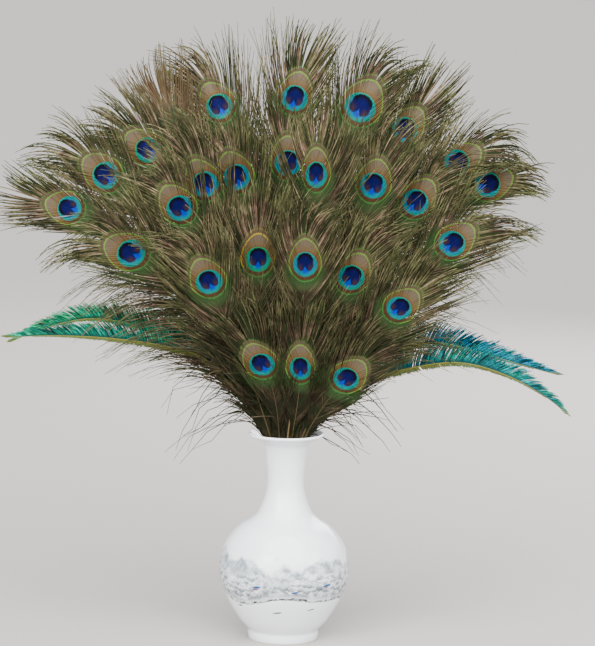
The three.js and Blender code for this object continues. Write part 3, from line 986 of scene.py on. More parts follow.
def thread_shade(wiring, tone, way, place):
    """Painted highlights and shade in dashes along each barb, painted shade at the root
    and at the foot of the fan, and uneven sheaves.
    """
    # Painted highlights and shade: lighter and darker dashes along each barb.
    own = wiring.joined({"X": wiring.times(way, PAINTED_LIGHT_DASHES), "Y": wiring.times(tone, DASH_SHIFT)})
    dash = wiring.noise(own, 1.0, 1.0).outputs["Fac"]
    sheaf = wiring.noise(place, SHEAF_SCALE, 1.0).outputs["Fac"]
    # Painted shade at the foot of the fan, darkest near its centre.
    from_middle = wiring.vector("SUBTRACT", place, (0.0, 0.0, FAN_CENTRE_Z * MM))
    radius = wiring.vector("LENGTH", wiring.vector("MULTIPLY", from_middle, (1.0, 0.0, 1.0)))
    # The roots by the shaft and the foot of the fan get painted shade.
    return wiring.times(wiring.step(dash, 0.32, 0.68, *DASH_PAINTED_LIGHT),
                        wiring.step(way, 0.0, 0.35, *ROOT_PAINTED_SHADE),
                        wiring.step(sheaf, 0.38, 0.62, *SHEAF_SHADES),
                        wiring.step(radius, *FOOT_PAINTED_SHADE_RADII, *FOOT_PAINTED_SHADE))


def make_thread_group():
    """Turns a barb's own tone, and the way along it, into the colour of the thread, with its
    painted highlights and shade.
    """
    wiring, given, result = new_group("barb thread", "ShaderNodeTree", [
        ("Dark", "NodeSocketColor", None), ("Middle", "NodeSocketColor", None),
        ("Green", "NodeSocketColor", None), ("Pale", "NodeSocketColor", None),
        ("Pale Share", "NodeSocketFloat", 0.2), ("Tip", "NodeSocketColor", None),
    ], [("Color", "NodeSocketColor"), ("Streak", "NodeSocketFloat"), ("Back", "NodeSocketFloat")])
    tone, way = attribute(wiring, "tone"), attribute(wiring, "way")
    place = wiring.node("ShaderNodeTexCoord").outputs["Object"]
    color = thread_color(wiring, given, tone, way, place)
    shade = grey(wiring, thread_shade(wiring, tone, way, place))
    facing = wiring.parts(wiring.node("ShaderNodeNewGeometry").outputs["Normal"])["Y"]
    # The thread's colour times its painted highlights and shade.
    wiring.plug(result["Color"], wiring.mix(1.0, color, shade, "MULTIPLY"))
    wiring.plug(result["Streak"], tone)
    wiring.plug(result["Back"], wiring.step(facing, -0.05, 0.25))
    return wiring.tree


THREAD_GROUP = make_thread_group()


def new_material(name):
    material = bpy.data.materials.new(name)
    material.use_nodes = True
    wiring = Wiring(material.node_tree)
    material.node_tree.nodes.clear()
    shader = wiring.node("ShaderNodeBsdfPrincipled")
    wiring.node("ShaderNodeOutputMaterial", {"Surface": shader.outputs[0]})
    return material, wiring, shader


def use_group(wiring, group, values):
    return wiring.node("ShaderNodeGroup", values, node_tree=group).outputs


def eye_colors(wiring, streak, barb_color):
    place = wiring.result("ShaderNodeUVMap", uv_map="eye_place")
    values = {"Place": place, "Tint": attribute(wiring, "tint"), "Streak": streak,
              "Barb Color": barb_color}
    return use_group(wiring, EYE_GROUP, values)


def make_eye_barb_material():
    """Olive and brown barbs that cross the eye's picture, dull brown on the back."""
    material, wiring, shader = new_material("eye_feather_barbs")
    thread = use_group(wiring, THREAD_GROUP, {**EYE_BARB_INKS, "Pale Share": EYE_PALE_SHARE})
    eye = eye_colors(wiring, thread["Streak"], thread["Color"])
    dull = wiring.mix(0.5, thread["Color"], BACK_BROWN)
    teal = wiring.times(eye["Gloss"], wiring.step(thread["Streak"], -0.2, 0.6, 0.0, 0.8))
    back_color = wiring.mix(teal, dull, BACK_TEAL)
    from_behind = wiring.math("MAXIMUM", thread["Back"], attribute(wiring, "turned"))
    wiring.plug(shader.inputs["Base Color"], wiring.mix(from_behind, eye["Color"], back_color))
    shine = wiring.times(eye["Gloss"], wiring.minus(1.0, from_behind))
    wiring.plug(shader.inputs["Metallic"], wiring.times(shine, 0.3))
    wiring.plug(shader.inputs["Roughness"], wiring.times_plus(shine, -0.1, 0.6))
    shader.inputs["Specular IOR Level"].default_value = 0.05
    return material


def make_sword_barb_material():
    """Emerald barbs, teal at the shaft, and duller where the vane is seen from behind."""
    material, wiring, shader = new_material("sword_feather_barbs")
    tint = attribute(wiring, "tint")
    inks = {name: wiring.mix(tint, green, blue) for name, (green, blue) in SWORD_INKS.items()}
    thread = use_group(wiring, THREAD_GROUP, {**inks, "Pale Share": SWORD_PALE_SHARE})
    near_shaft = wiring.step(attribute(wiring, "way"), 0.3, 0.0)
    color = wiring.mix(near_shaft, thread["Color"], inks["Dark"])
    stub = wiring.times(wiring.step(attribute(wiring, "length"), 0.011, 0.008), 0.8)
    color = wiring.mix(stub, color, STUB_OLIVE)
    dull = wiring.mix(0.6, color, SWORD_BACK)
    wiring.plug(shader.inputs["Base Color"], wiring.mix(thread["Back"], color, dull))
    shader.inputs["Metallic"].default_value = 0.35
    shader.inputs["Roughness"].default_value = 0.5
    shader.inputs["Specular IOR Level"].default_value = 0.2
    return material


# %% Horn of the shafts
STEM_SHADOW = ink(44, 40, 24)
GRAIN_BROWN = ink(96, 72, 42)
GRAIN_STRETCH = (1.0, 1.0, 0.12)
GRAIN_SCALE = 900.0

# The horn changes from its low colour to its high one between these heights, in metres.
HORN_CHANGE = (0.24, 0.31)


def horn_color(wiring, low, high):
    """Pale horn above the vase on some shafts, darker towards the tip, and its grain."""
    place = wiring.node("ShaderNodeTexCoord").outputs["Object"]
    stretched = wiring.vector("MULTIPLY", place, GRAIN_STRETCH)
    grain = wiring.noise(stretched, GRAIN_SCALE, 2.0).outputs["Fac"]
    low = wiring.mix(attribute(wiring, "horn"), STEM_SHADOW, low)
    color = wiring.mix(wiring.step(wiring.parts(place)["Z"], *HORN_CHANGE), low, high)
    return wiring.mix(wiring.times(grain, 0.5), color, GRAIN_BROWN), grain


def finish_horn(wiring, shader, color, grain):
    wiring.plug(shader.inputs["Base Color"], color)
    bump = wiring.node("ShaderNodeBump", {"Height": grain, "Strength": 0.25, "Distance": 0.0003})
    wiring.plug(shader.inputs["Normal"], bump.outputs[0])
    wiring.plug(shader.inputs["Roughness"], wiring.times_plus(grain, 0.2, 0.4))
    shader.inputs["Specular IOR Level"].default_value = 0.2


def make_eye_shaft_material():
    """The shaft of an eye feather, which takes the eye's colours where it crosses the eye."""
    material, wiring, shader = new_material("eye_feather_shaft")
    color, grain = horn_color(wiring, ink(150, 126, 84), ink(56, 46, 26))
    seen = wiring.mix(attribute(wiring, "turned"), eye_colors(wiring, 0.0, color)["Color"], color)
    finish_horn(wiring, shader, seen, grain)
    return material


def make_sword_shaft_material():
    material, wiring, shader = new_material("sword_feather_shaft")
    color, grain = horn_color(wiring, ink(150, 118, 70), ink(112, 112, 34))
    finish_horn(wiring, shader, color, grain)
    return material


EYE_BARBS = make_eye_barb_material()
SWORD_BARBS = make_sword_barb_material()
EYE_SHAFT = make_eye_shaft_material()
SWORD_SHAFT = make_sword_shaft_material()
print("feather materials ready")

# %% [markdown]
# ## Growing the bouquet
# An eye feather's barbs are loose and long on the lower shaft, where they cling together in
# locks. Around the eye they stand close and lie flat, so that the picture closes, and past
# the eye they spread out as a crest that bends to one side. The few lists here say how
# length and angle change along the shaft. In a real bunch the feathers are shaken until
# the eyes show. Here a barb that would cover a neighbour's eye stops short of it, and a
# few eyes are left partly covered. The eyes differ in width and length, and one feather
# stands with its back to the front. A sword feather has one stiff vane of short barbs along
# its upper side. Barbs on the outside of the fan, low down, have no neighbour to hold them,
# so some of them hang out and droop.

# %% Eye feathers
ROOT_SPACING = 0.95
BARBS_START = 8.0
FULL_LENGTH_AFTER = 95.0
EYE_ZONE = -78.0
LOCK_LEAST, LOCK_MOST = 4.0, 13.0

# How a lock differs from the next: its lean in radians, and its curl and its length
# against the barb's length. In the eye the curl is calmer by a share.
LOCK_LEAN = 0.13
LOCK_CURL = 0.1
LOCK_LENGTH = 0.12
CALM_IN_EYE = 0.6

# How strongly the barbs of a lock lean to its middle. A barb shorter than this many
# millimetres leans as one of this length.
CLING = 0.7
CLING_LENGTH = 20

# On a leaning feather's lower side the barbs turn out, curl, thin out and end sooner. That
# sets in at a lean of so many degrees, and is full so many degrees later.
SPREAD_TURN = 0.24
SPREAD_CURL = 0.3
SPREAD_THINNER = 0.14
SPREAD_SHORTER = 0.06
SPREAD_FROM, SPREAD_OVER = 25, 30

# The crest bends to one side by an angle in this range, in radians.
CREST_BEND = (-0.06, 0.26)

# The barbs' width in millimetres, and how much wider they are in the eye and the crest.
BARB_WIDTH = 0.92
WIDER_IN_EYE = 0.16
WIDER_IN_CREST = 0.36

# How far barbs rise from the vane by luck, against their length, and how far they lie
# flatter in the eye.
BARB_LIFT = 0.15
FLATTER_IN_EYE = 0.11

# How uneven the lengths are, the share of barbs missing outside the eye, and how much
# less loose the barbs are in the eye.
UNEVEN_LENGTH = 0.22
MISSING_SHARE = 0.24
CLOSE_IN_EYE = 0.88

# Where barbs stray, in millimetres above the neck: between the first pair the strays
# set in, and between the second they end.
STRAYS_SET_IN = (30, 60)
STRAYS_END = (90, 170)
STRAY_SHARE = 0.08

EYE_RUFFLE = 0.01
FIRST_LUCK = 300
FIRST_SEED, SEED_STEP = 100, 7

# The shaft's radius in millimetres at these shares of its length.
QUILL_AT = [0, 0.35, 0.8, 1]
EYE_QUILL = [1.25, 1.15, 0.45, 0.2]

# This feather stands with its back to the front.
TURNED_FEATHER = 27

# The barbs in front of an eye are combed aside, but these eyes stay partly covered, and
# here is the share of the locks that are combed aside.
COVERED_EYES = {4: 0.75, 9: 0.7, 10: 0.7, 11: 0.6, 14: 0.7, 15: 0.5, 27: 0.0}
EYE_CLEARANCE = 19.0
CLEARANCE_LUCK = (-5, 2)
EYE_MIDDLE = 4.0
STOPS = np.linspace(1.0, 0.1, 19)
STOP_SHORT = 0.04
LAYERS_THAT_BARBS_RISE = 3

# Past the eye's middle, in millimetres: the barbs' length, first angle and last angle.
EYE_PLAN_AT = [EYE_ZONE - 60, EYE_ZONE, -38, -14, 0, 12, 20, SHAFT_PAST_EYE]
EYE_PLAN_LENGTH = [102, 106, 101, 92, 82, 75, 68, 60]
EYE_PLAN_FIRST = [42, 36, 33, 30, 26, 20, 14, 6]
EYE_PLAN_LAST = [22, 18, 14, 11, 9, 7, 4, 0]

# Above the neck, in millimetres: how far the barbs have opened.
OPENED_AT = [BARBS_START, 50, 120]
OPENED = [0.25, 0.55, 1.0]
OPENED_IN_EYE = 0.95


def lock_luck(luck, along):
    """Neighbouring barbs cling together in locks: each root's lock and its place in it."""
    count = int(along[-1] / LOCK_LEAST) + 2
    edges = np.cumsum(luck.uniform(LOCK_LEAST, LOCK_MOST, count))
    lock = np.searchsorted(edges, along)
    middles = edges - np.diff(edges, prepend=0) / 2
    return lock, along - middles[lock], luck.uniform(-1, 1, (3, count + 1))


def eyes_to_spare(index):
    """The eyes that this feather's barbs must not cover: their middles, and how strictly."""
    front_layer = EYE_FEATHERS[index][0] - LAYERS_THAT_BARBS_RISE
    middles, strictness = [], []
    for i, (layer, x, z, lean, _) in enumerate(EYE_FEATHERS):
        if layer >= front_layer and i != index:
            middles.append(np.array((x, z)) + EYE_MIDDLE * heading(lean))
            strictness.append(COVERED_EYES.get(i + 1, 1.0))
    return np.array(middles), np.array(strictness)


def barb_place(frames, side, length, first, last, way):
    """Where the barbs of one side are at a share of their way, across and up."""
    ahead, right = frames["ahead"][:, [0, 2]], side * frames["right"][:, [0, 2]]
    start = np.cos(first)[:, None] * ahead + np.sin(first)[:, None] * right
    end = np.cos(last)[:, None] * ahead + np.sin(last)[:, None] * right
    reach = (way - way**2 / 2) * start + way**2 / 2 * end
    return frames["points"][:, [0, 2]] + length[:, None] * reach


def stop_at_eyes(frames, side, length, first, last, eyes, lock, luck):
    """The length that each barb can have before it would cover another eye."""
    middles, strictness = eyes
    combed_aside = luck.uniform(0, 1, lock.max() + 1)[lock][:, None] < strictness
    clearance = EYE_CLEARANCE + luck.uniform(*CLEARANCE_LUCK, len(length))[:, None]
    share = np.ones(len(length))
    for way in STOPS:
        place = barb_place(frames, side, length, first, last, way)
        apart = np.linalg.norm(place[:, None] - middles, axis=2)
        share[(combed_aside & (apart < clearance)).any(axis=1)] = way - STOP_SHORT
    return length * share


def side_attributes(frames, side, eyes, luck, shape, spread):
    """Length, turn, curl and thinness of the barbs on one side, with their locks."""
    length, loose, bend = shape["length"], shape["loose"], side * shape["crest"]
    lock, offset, (lean, size, curl) = lock_luck(luck, frames["along"])
    own_curl = LOCK_CURL * curl[lock] * (1 - CALM_IN_EYE * shape["in_eye"])
    cling = CLING * offset / np.maximum(length, CLING_LENGTH)
    length = length * (1 + LOCK_LENGTH * size[lock] - SPREAD_SHORTER * spread * loose)
    turn = (LOCK_LEAN * lean[lock] + cling + SPREAD_TURN * spread) * loose + bend
    first, last = shape["sweep"] + turn / 2, shape["sweep_end"] + turn
    length = stop_at_eyes(frames, side, length, first, last, eyes, lock, luck)
    name = "left" if side < 0 else "right"
    return {
        name + "_length": length * MM,
        name + "_turn": turn,
        name + "_curl": bend + own_curl + SPREAD_CURL * spread * loose,
        name + "_thin": shape["thin"] + SPREAD_THINNER * spread * loose,
    }


def lower_spread(lean):
    """A leaning feather's lower side spreads: from -1, left, to 1, right."""
    return math.copysign(np.clip((abs(lean) - SPREAD_FROM) / SPREAD_OVER, 0, 1), lean)


def barb_shape(above, past, crest):
    """How long, how steep and how loose the barbs are at each point of the shaft."""
    growth = np.interp(above, [BARBS_START, FULL_LENGTH_AFTER], [0.4, 1.0]) * (above > BARBS_START)
    in_eye = smoothstep(past, EYE_ZONE - 14, EYE_ZONE + 14)
    opened = np.maximum(np.interp(above, OPENED_AT, OPENED), OPENED_IN_EYE * in_eye)
    return {
        "length": np.interp(past, EYE_PLAN_AT, EYE_PLAN_LENGTH) * growth,
        "sweep": np.radians(np.interp(past, EYE_PLAN_AT, EYE_PLAN_FIRST)) * opened,
        "sweep_end": np.radians(np.interp(past, EYE_PLAN_AT, EYE_PLAN_LAST)) * opened,
        "in_eye": in_eye,
        "loose": (1 - CLOSE_IN_EYE * in_eye) * opened,
        "crest": crest * smoothstep(past, -30, 20),
        "crown": smoothstep(past, -24, 8),
        "thin": MISSING_SHARE * (1 - in_eye),
    }


def free_sides(index):
    """Is there no other feather of the same layer to the left, and to the right?"""
    layer, x = EYE_FEATHERS[index][:2]
    others = [f[1] for f in EYE_FEATHERS if f[0] == layer and f[1] != x]
    return not any(o < x for o in others), not any(o > x for o in others)


def eye_attributes(frames, foot, index, luck):
    """All that the barb tree reads from the shaft of an eye feather."""
    lean, tint = EYE_FEATHERS[index][3:]
    along, total = frames["along"], frames["along"][-1]
    above = along - (CURVE_START_Z - foot[2])
    bend = math.copysign(1, lean) * luck.uniform(*CREST_BEND)
    shape = barb_shape(above, along - (total - SHAFT_PAST_EYE), bend)
    shape["length"] *= 1 - (1 - SHORT_CRESTS.get(index + 1, 1.0)) * shape["in_eye"]
    strays = STRAY_SHARE * smoothstep(above, *STRAYS_SET_IN) * (1 - smoothstep(above, *STRAYS_END))
    free_left, free_right = free_sides(index)
    spread = lower_spread(lean)
    eyes = eyes_to_spare(index)
    width = BARB_WIDTH + WIDER_IN_EYE * shape["in_eye"] + WIDER_IN_CREST * shape["crown"]
    return {
        **side_attributes(frames, -1, eyes, luck, shape, max(-spread, 0)),
        **side_attributes(frames, 1, eyes, luck, shape, max(spread, 0)),
        "sweep": shape["sweep"], "sweep_end": shape["sweep_end"], "loose": shape["loose"],
        "width": width * MM,
        "lift": BARB_LIFT - FLATTER_IN_EYE * shape["in_eye"],
        "uneven": UNEVEN_LENGTH,
        "left_stray": strays * free_left, "right_stray": strays * free_right,
        "quill": np.interp(along / total, QUILL_AT, EYE_QUILL) * MM,
        "tint": tint,
        "turned": float(index + 1 == TURNED_FEATHER),
        "horn": luck.uniform(0, 1) ** 4,
    }


def finish_feather(piece, node):
    smooth(piece.data)
    lay_flat(piece.data)
    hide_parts(node)
    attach(piece, "root")
    return piece


def make_eye_feather(index):
    layer, x, z, lean, _ = EYE_FEATHERS[index]
    node = f"eye_feather_{index + 1:02d}"
    foot = stem_foot(node)
    route = eye_route(foot, np.array([x, z], float), lean)
    frames = shaft_frames(route, layer, foot[1], ROOT_SPACING)
    luck = np.random.default_rng(FIRST_LUCK + index)
    shaft = shaft_mesh(node + "_line", frames, eye_attributes(frames, foot, index, luck))
    values = {"Ruffle": EYE_RUFFLE, "Seed": FIRST_SEED + index * SEED_STEP,
              "Barb Material": EYE_BARBS, "Shaft Material": EYE_SHAFT}
    piece = grow(f"feather_{index + 1:02d}", shaft, values)
    at_eye = np.searchsorted(frames["along"], frames["along"][-1] - SHAFT_PAST_EYE)
    centre, ahead, right = (frames[key][at_eye] for key in ("points", "ahead", "right"))
    mark_eye(piece.data, centre, ahead, right, EYE_SIZES.get(index + 1, USUAL_EYE))
    return finish_feather(piece, node)


eye_pieces = [make_eye_feather(i) for i in range(len(EYE_FEATHERS))]
triangles = sum(sum(len(p.vertices) - 2 for p in piece.data.polygons) for piece in eye_pieces)
print(len(eye_pieces), "eye feathers grown,", triangles, "triangles")

# %% Sword feathers
SWORD_SPACING = 0.7
SWORD_RUFFLE = 0.004
FIRST_SWORD_SEED, SWORD_SEED_STEP = 900, 11

# The vane begins at this distance from the fan's centre. Its barbs get shorter, and lean
# further ahead, towards the tip. Lengths are in millimetres and angles in degrees.
SWORD_BARBS_FROM = 115.0
SWORD_LENGTH, SWORD_TIP_LESS = 27, 20
SWORD_SWEEP, SWORD_SWEEP_LESS = 76, 50
SWORD_BEND = 18
STUB_LENGTH = 7.5

# Two waves that beat together make uneven tufts along the vane. They are in millimetres
# to the radian.
TUFT_WAVE, TUFT_BEAT = 4.1, 10.7

# What every barb of a sword feather has, on either side.
SWORD_SIDE = {"stray": 0.0, "turn": 0.0, "curl": -0.05, "thin": 0.06}
SWORD_VANE = {"width": 1.2 * MM, "loose": 0.4, "lift": 0.16, "uneven": 0.16, "horn": 0.3}
SWORD_QUILL_AT = [0, 0.5, 1]
SWORD_QUILL = [1.25, 1.0, 0.3]


def sword_attributes(frames, side, tint):
    """All that the barb tree reads from the shaft of a sword feather."""
    along, total = frames["along"], frames["along"][-1]
    start = along[np.argmax((frames["radius"] > SWORD_BARBS_FROM) & (along > CURVE_START_Z))]
    share = np.clip((along - start) / (total - start), 0, 1)
    grown = smoothstep(along, start - 14, start + 10)
    tufts = np.sin(along / TUFT_WAVE) * np.sin(along / TUFT_BEAT + 1) * (1 - share)
    vane = (SWORD_LENGTH - SWORD_TIP_LESS * share**4 + 2 * tufts) * grown * MM
    stub = STUB_LENGTH * grown * (1 - share**2) * MM
    sweep = SWORD_SWEEP - SWORD_SWEEP_LESS * share**2
    both = {f"{name}_{key}": value for name in ("left", "right")
            for key, value in SWORD_SIDE.items()}
    return {
        **both, **SWORD_VANE,
        "left_length": vane if side < 0 else stub, "right_length": vane if side > 0 else stub,
        "sweep": np.radians(sweep + 3 * tufts),
        "sweep_end": np.radians(sweep - SWORD_BEND + 6 * tufts),
        "quill": np.interp(along / total, SWORD_QUILL_AT, SWORD_QUILL) * MM,
        "tint": tint,
    }


def make_sword_feather(name, seed):
    layer, side, tint, places = SWORD_FEATHERS[name]
    node = "sword_feather_" + name
    foot = stem_foot(node)
    frames = shaft_frames(sword_route(foot, places), layer, foot[1], SWORD_SPACING)
    shaft = shaft_mesh(node + "_line", frames, sword_attributes(frames, side, tint))
    values = {"Ruffle": SWORD_RUFFLE, "Seed": seed, "Barb Material": SWORD_BARBS,
              "Shaft Material": SWORD_SHAFT}
    piece = grow("sword_" + name, shaft, values)
    return finish_feather(piece, node)


sword_pieces = [make_sword_feather(name, FIRST_SWORD_SEED + SWORD_SEED_STEP * i)
                for i, name in enumerate(SWORD_FEATHERS)]
print(len(sword_pieces), "sword feathers grown")

# %% [markdown]
# ## The porcelain vase
# The vase is one thrown and glazed body: a foot ring, a round belly, a slim neck and a
# flared lip. A screw modifier could turn its outline. Here the outline is spun in mesh code
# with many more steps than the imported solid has, so the belly's highlight stays round. The
# outline is a smooth spline through the same places, outside and inside, so the wall keeps
# its thickness.

# %% Vase outline
VASE_FLOOR = 10.0
VASE_FOOT = [(0, 4), (32.5, 4), (33.1, 3.2), (33.5, 0.6), (34.1, 0), (39.1, 0), (39.7, 0.6),
             (39.7, 8)]
VASE_OUTSIDE = [(39.2, 10.3), (51.9, 25), (66.8, 52), (73.1, 78), (67.3, 105), (52.7, 125),
                (38.9, 134.5), (29.8, 144), (21.4, 167), (20.6, 185), (24.2, 214), (27.9, 222),
                (42.3, 230)]
VASE_LIP = [(42.5, 231.2), (41.9, 232.2), (41, 232.5), (40, 232.3)]
VASE_INSIDE = [(38.8, 231), (24.4, 223.5), (20.7, 214), (17.1, 185), (17.9, 167), (26.3, 142.5),
               (49.2, 121.5), (63.8, 103), (69.6, 78), (63.3, 53.5), (48.4, 27.5), (30, VASE_FLOOR)]
TURN_STEPS = 96
STEPS_EACH = 6


def make_vase_mesh():
    outline = [*VASE_FOOT, *spline(VASE_OUTSIDE, STEPS_EACH), *VASE_LIP,
               *spline(VASE_INSIDE, STEPS_EACH), (0, VASE_FLOOR)]
    shape = bmesh.new()
    verts = [shape.verts.new((r * MM, 0, z * MM)) for r, z in outline]
    edges = [shape.edges.new(pair) for pair in zip(verts, verts[1:])]
    bmesh.ops.spin(shape, geom=[*verts, *edges], axis=(0, 0, 1), cent=(0, 0, 0),
                   angle=math.tau, steps=TURN_STEPS, use_merge=True)
    bmesh.ops.remove_doubles(shape, verts=shape.verts, dist=1e-6)
    bmesh.ops.recalc_face_normals(shape, faces=shape.faces)
    mesh = bpy.data.meshes.new("porcelain_vase")
    shape.to_mesh(mesh)
    shape.free()
    smooth(mesh)
    return mesh


# %% [markdown]
# ## Glaze and painted shore
# The glaze is white with a blue cast and a hard shine. A painted band runs round the belly:
# a winter shore with mist, snowed-in trees and a dark speckled bank. The design is a
# generic one of this script's own. It is made of noise and simple waves on the vase's own
# coordinates, so it runs round without a seam. Thin paint lies under the glaze, so it
# changes the colour and nothing else.

# %% Painted shore
GLAZE = ink(246, 248, 250)
GLAZE_SHADE = ink(232, 237, 243)
BARE_CLAY = ink(222, 208, 188)
MIST = ink(124, 138, 148)
TREE_GREY = ink(50, 56, 60)
BANK_GREY = ink(14, 15, 15)
ROOF_BLUE = ink(0, 72, 130)
RUST_RED = ink(120, 10, 6)
LIP_BLUE = ink(88, 116, 144)

# Heights on the vase in millimetres: the bank's lower edge with its two swings, each so
# many to the turn, and the mean top of the mist.
SHORE_HEIGHT = 53.5
SHORE_SWING, SHORE_SWINGS = 3.6, 3.0
SHORE_SWELL, SHORE_SWELLS = 1.8, 5.0
SHORE_ROUGH = 9.0
MIST_TOP = 100.0
MIST_ROUGH = 70.0

# The round tree crowns: how many to the millimetre, how close their strokes stand, and
# how far their edges wander.
CROWNS = 0.135
CROWN_STROKES = 15.0
CROWN_WARP = 3.0

# The border inside the lip: how many waves run round it, and how close they stand.
LIP_WAVES = 44.0
LIP_WAVES_ACROSS = 1.9

# Small things on the shore: angle round the vase in degrees, height and half sizes in
# millimetres, and colour.
SHORE_MARKS = [
    (-24, 70.5, 5.0, 1.6, ROOF_BLUE), (-25, 68.2, 4.0, 0.6, RUST_RED),
    (10, 66.0, 4.0, 1.3, ROOF_BLUE), (11, 63.9, 3.2, 0.6, RUST_RED),
    (41, 71.5, 5.5, 1.6, ROOF_BLUE), (40, 69.2, 4.2, 0.6, RUST_RED),
    (128, 70.0, 5.0, 1.6, ROOF_BLUE), (-140, 68.0, 5.5, 1.6, ROOF_BLUE),
    (-139, 65.8, 4.0, 0.6, RUST_RED), (-6, 41.0, 5.5, 0.9, BANK_GREY),
    (29, 44.0, 4.5, 0.8, BANK_GREY), (-48, 45.0, 4.5, 0.8, BANK_GREY),
    (160, 42.0, 5.0, 0.9, BANK_GREY),
]


def shore_line(wiring, turn, medium):
    """The height of the bank's lower edge, which wanders round the vase."""
    swing = wiring.math("SINE", wiring.times_plus(turn, SHORE_SWINGS, 0.9))
    swell = wiring.math("SINE", wiring.times_plus(turn, SHORE_SWELLS, 2.2))
    shore = wiring.times_plus(swing, SHORE_SWING, SHORE_HEIGHT)
    shore = wiring.times_plus(swell, SHORE_SWELL, shore)
    return wiring.times_plus(wiring.minus(medium, 0.5), SHORE_ROUGH, shore)


def paint_mist(wiring, color, height, rise, broad, medium):
    """Far hills in mist, which fade upwards."""
    top = wiring.times_plus(wiring.minus(broad, 0.5), MIST_ROUGH, MIST_TOP)
    cover = wiring.times(wiring.step(wiring.minus(top, height), 0.0, 9.0),
                         wiring.step(rise, 0.0, 6.0),
                         wiring.step(medium, 0.3, 0.62, 0.35, 0.95))
    return wiring.mix(cover, color, MIST)


def crown_cells(wiring, place):
    """How far each point is from the middle of its crown, and how far above it."""
    warp = wiring.scaled(wiring.noise(place, 0.35, 2.0).outputs["Color"], CROWN_WARP)
    warped = wiring.vector("ADD", place, warp)
    values = {"Vector": warped, "Scale": CROWNS, "Randomness": 0.9}
    middle = wiring.node("ShaderNodeTexVoronoi", values).outputs["Position"]
    from_middle = wiring.vector("SUBTRACT", warped, middle)
    return wiring.vector("LENGTH", from_middle), wiring.parts(from_middle)["Z"]


def paint_trees(wiring, color, ground, place, rise, broad, fine):
    """Round snowed-in crowns: white strokes that fan out above, grey shade below."""
    distance, above = crown_cells(wiring, place)
    slant = wiring.math("DIVIDE", above, wiring.math("MAXIMUM", distance, 0.4))
    strokes = wiring.times_plus(slant, CROWN_STROKES, wiring.times(fine, 7.0))
    strokes = wiring.step(wiring.math("SINE", strokes), -0.3, 0.5, 0.25, 1.0)
    zone = wiring.times(wiring.step(rise, 3.0, 10.0), wiring.step(rise, 42.0, 26.0),
                        wiring.step(broad, 0.34, 0.52, 0.3, 1.0))
    snow = wiring.times(zone, strokes, wiring.step(above, -2.0, 1.5))
    color = wiring.mix(snow, color, ground)
    shade = wiring.times(zone, wiring.step(above, 0.5, -3.0),
                         wiring.step(fine, 0.4, 0.6, 0.3, 0.9),
                         wiring.step(rise, 32.0, 14.0, 0.25, 0.8))
    return wiring.mix(shade, color, TREE_GREY)


def paint_bank(wiring, color, rise, medium, fine, hair):
    """A bank with dark speckles, and a dark line where it meets the ice."""
    cover = wiring.times(wiring.step(hair, 0.48, 0.56), wiring.step(fine, 0.4, 0.56),
                         wiring.step(rise, -0.5, 1.2), wiring.step(rise, 26.0, 8.0),
                         wiring.step(medium, 0.4, 0.56, 0.4, 1.0), 0.9)
    color = wiring.mix(cover, color, BANK_GREY)
    line = wiring.times(wiring.step(rise, -1.2, -0.4), wiring.step(rise, 2.4, 0.6),
                        wiring.step(fine, 0.32, 0.5), wiring.step(medium, 0.36, 0.5, 0.25, 1.0))
    return wiring.mix(line, color, BANK_GREY)


def paint_mark(wiring, color, turn, radius, height, hair, mark):
    """One small tilted spot with a frayed edge."""
    degrees, level, half_width, half_height, paint = mark
    arc = wiring.times(wiring.minus(turn, math.radians(degrees)), radius)
    middle = wiring.times_plus(arc, 0.12, level)
    x = wiring.math("DIVIDE", arc, half_width)
    y = wiring.math("DIVIDE", wiring.minus(height, middle), half_height)
    spot = wiring.times_plus(x, x, wiring.times(y, y))
    spot = wiring.plus(spot, wiring.times_plus(hair, 2.4, -1.2))
    cover = wiring.times(wiring.step(spot, 1.1, 0.75), wiring.step(radius, 30.0, 35.0))
    return wiring.mix(cover, color, paint)


def paint_lip(wiring, color, turn, radius, height):
    """A faint blue border of small waves inside the lip."""
    waves = wiring.times(wiring.math("SINE", wiring.times(turn, LIP_WAVES)),
                         wiring.math("SINE", wiring.times(radius, LIP_WAVES_ACROSS)))
    cover = wiring.times(wiring.step(height, 226.0, 227.0), wiring.step(radius, 38.6, 37.8),
                         wiring.step(radius, 29.0, 30.0), wiring.step(waves, -0.1, 0.3, 0.1, 0.6))
    return wiring.mix(cover, color, LIP_BLUE)


def make_shore_group():
    wiring, given, result = new_group("winter shore", "ShaderNodeTree", [
        ("Place", "NodeSocketVector", None), ("Ground", "NodeSocketColor", GLAZE),
    ], [("Color", "NodeSocketColor")])
    place = wiring.scaled(given["Place"], 1 / MM)
    parts = wiring.parts(place)
    height = parts["Z"]
    turn = wiring.math("ARCTAN2", parts["X"], wiring.times(parts["Y"], -1.0))
    radius = wiring.vector("LENGTH", wiring.vector("MULTIPLY", place, (1.0, 1.0, 0.0)))
    broad = wiring.noise(place, 0.03, 3.0).outputs["Fac"]
    medium = wiring.noise(place, 0.11, 4.0, 0.6).outputs["Fac"]
    fine = wiring.noise(place, 0.75, 3.0, 0.7).outputs["Fac"]
    hair = wiring.noise(place, 1.6, 2.0, 0.7).outputs["Fac"]
    rise = wiring.minus(height, shore_line(wiring, turn, medium))
    color = paint_mist(wiring, given["Ground"], height, rise, broad, medium)
    color = paint_trees(wiring, color, given["Ground"], place, rise, broad, fine)
    color = paint_bank(wiring, color, rise, medium, fine, hair)
    for mark in SHORE_MARKS:
        color = paint_mark(wiring, color, turn, radius, height, hair, mark)
    wiring.plug(result["Color"], paint_lip(wiring, color, turn, radius, height))
    return wiring.tree


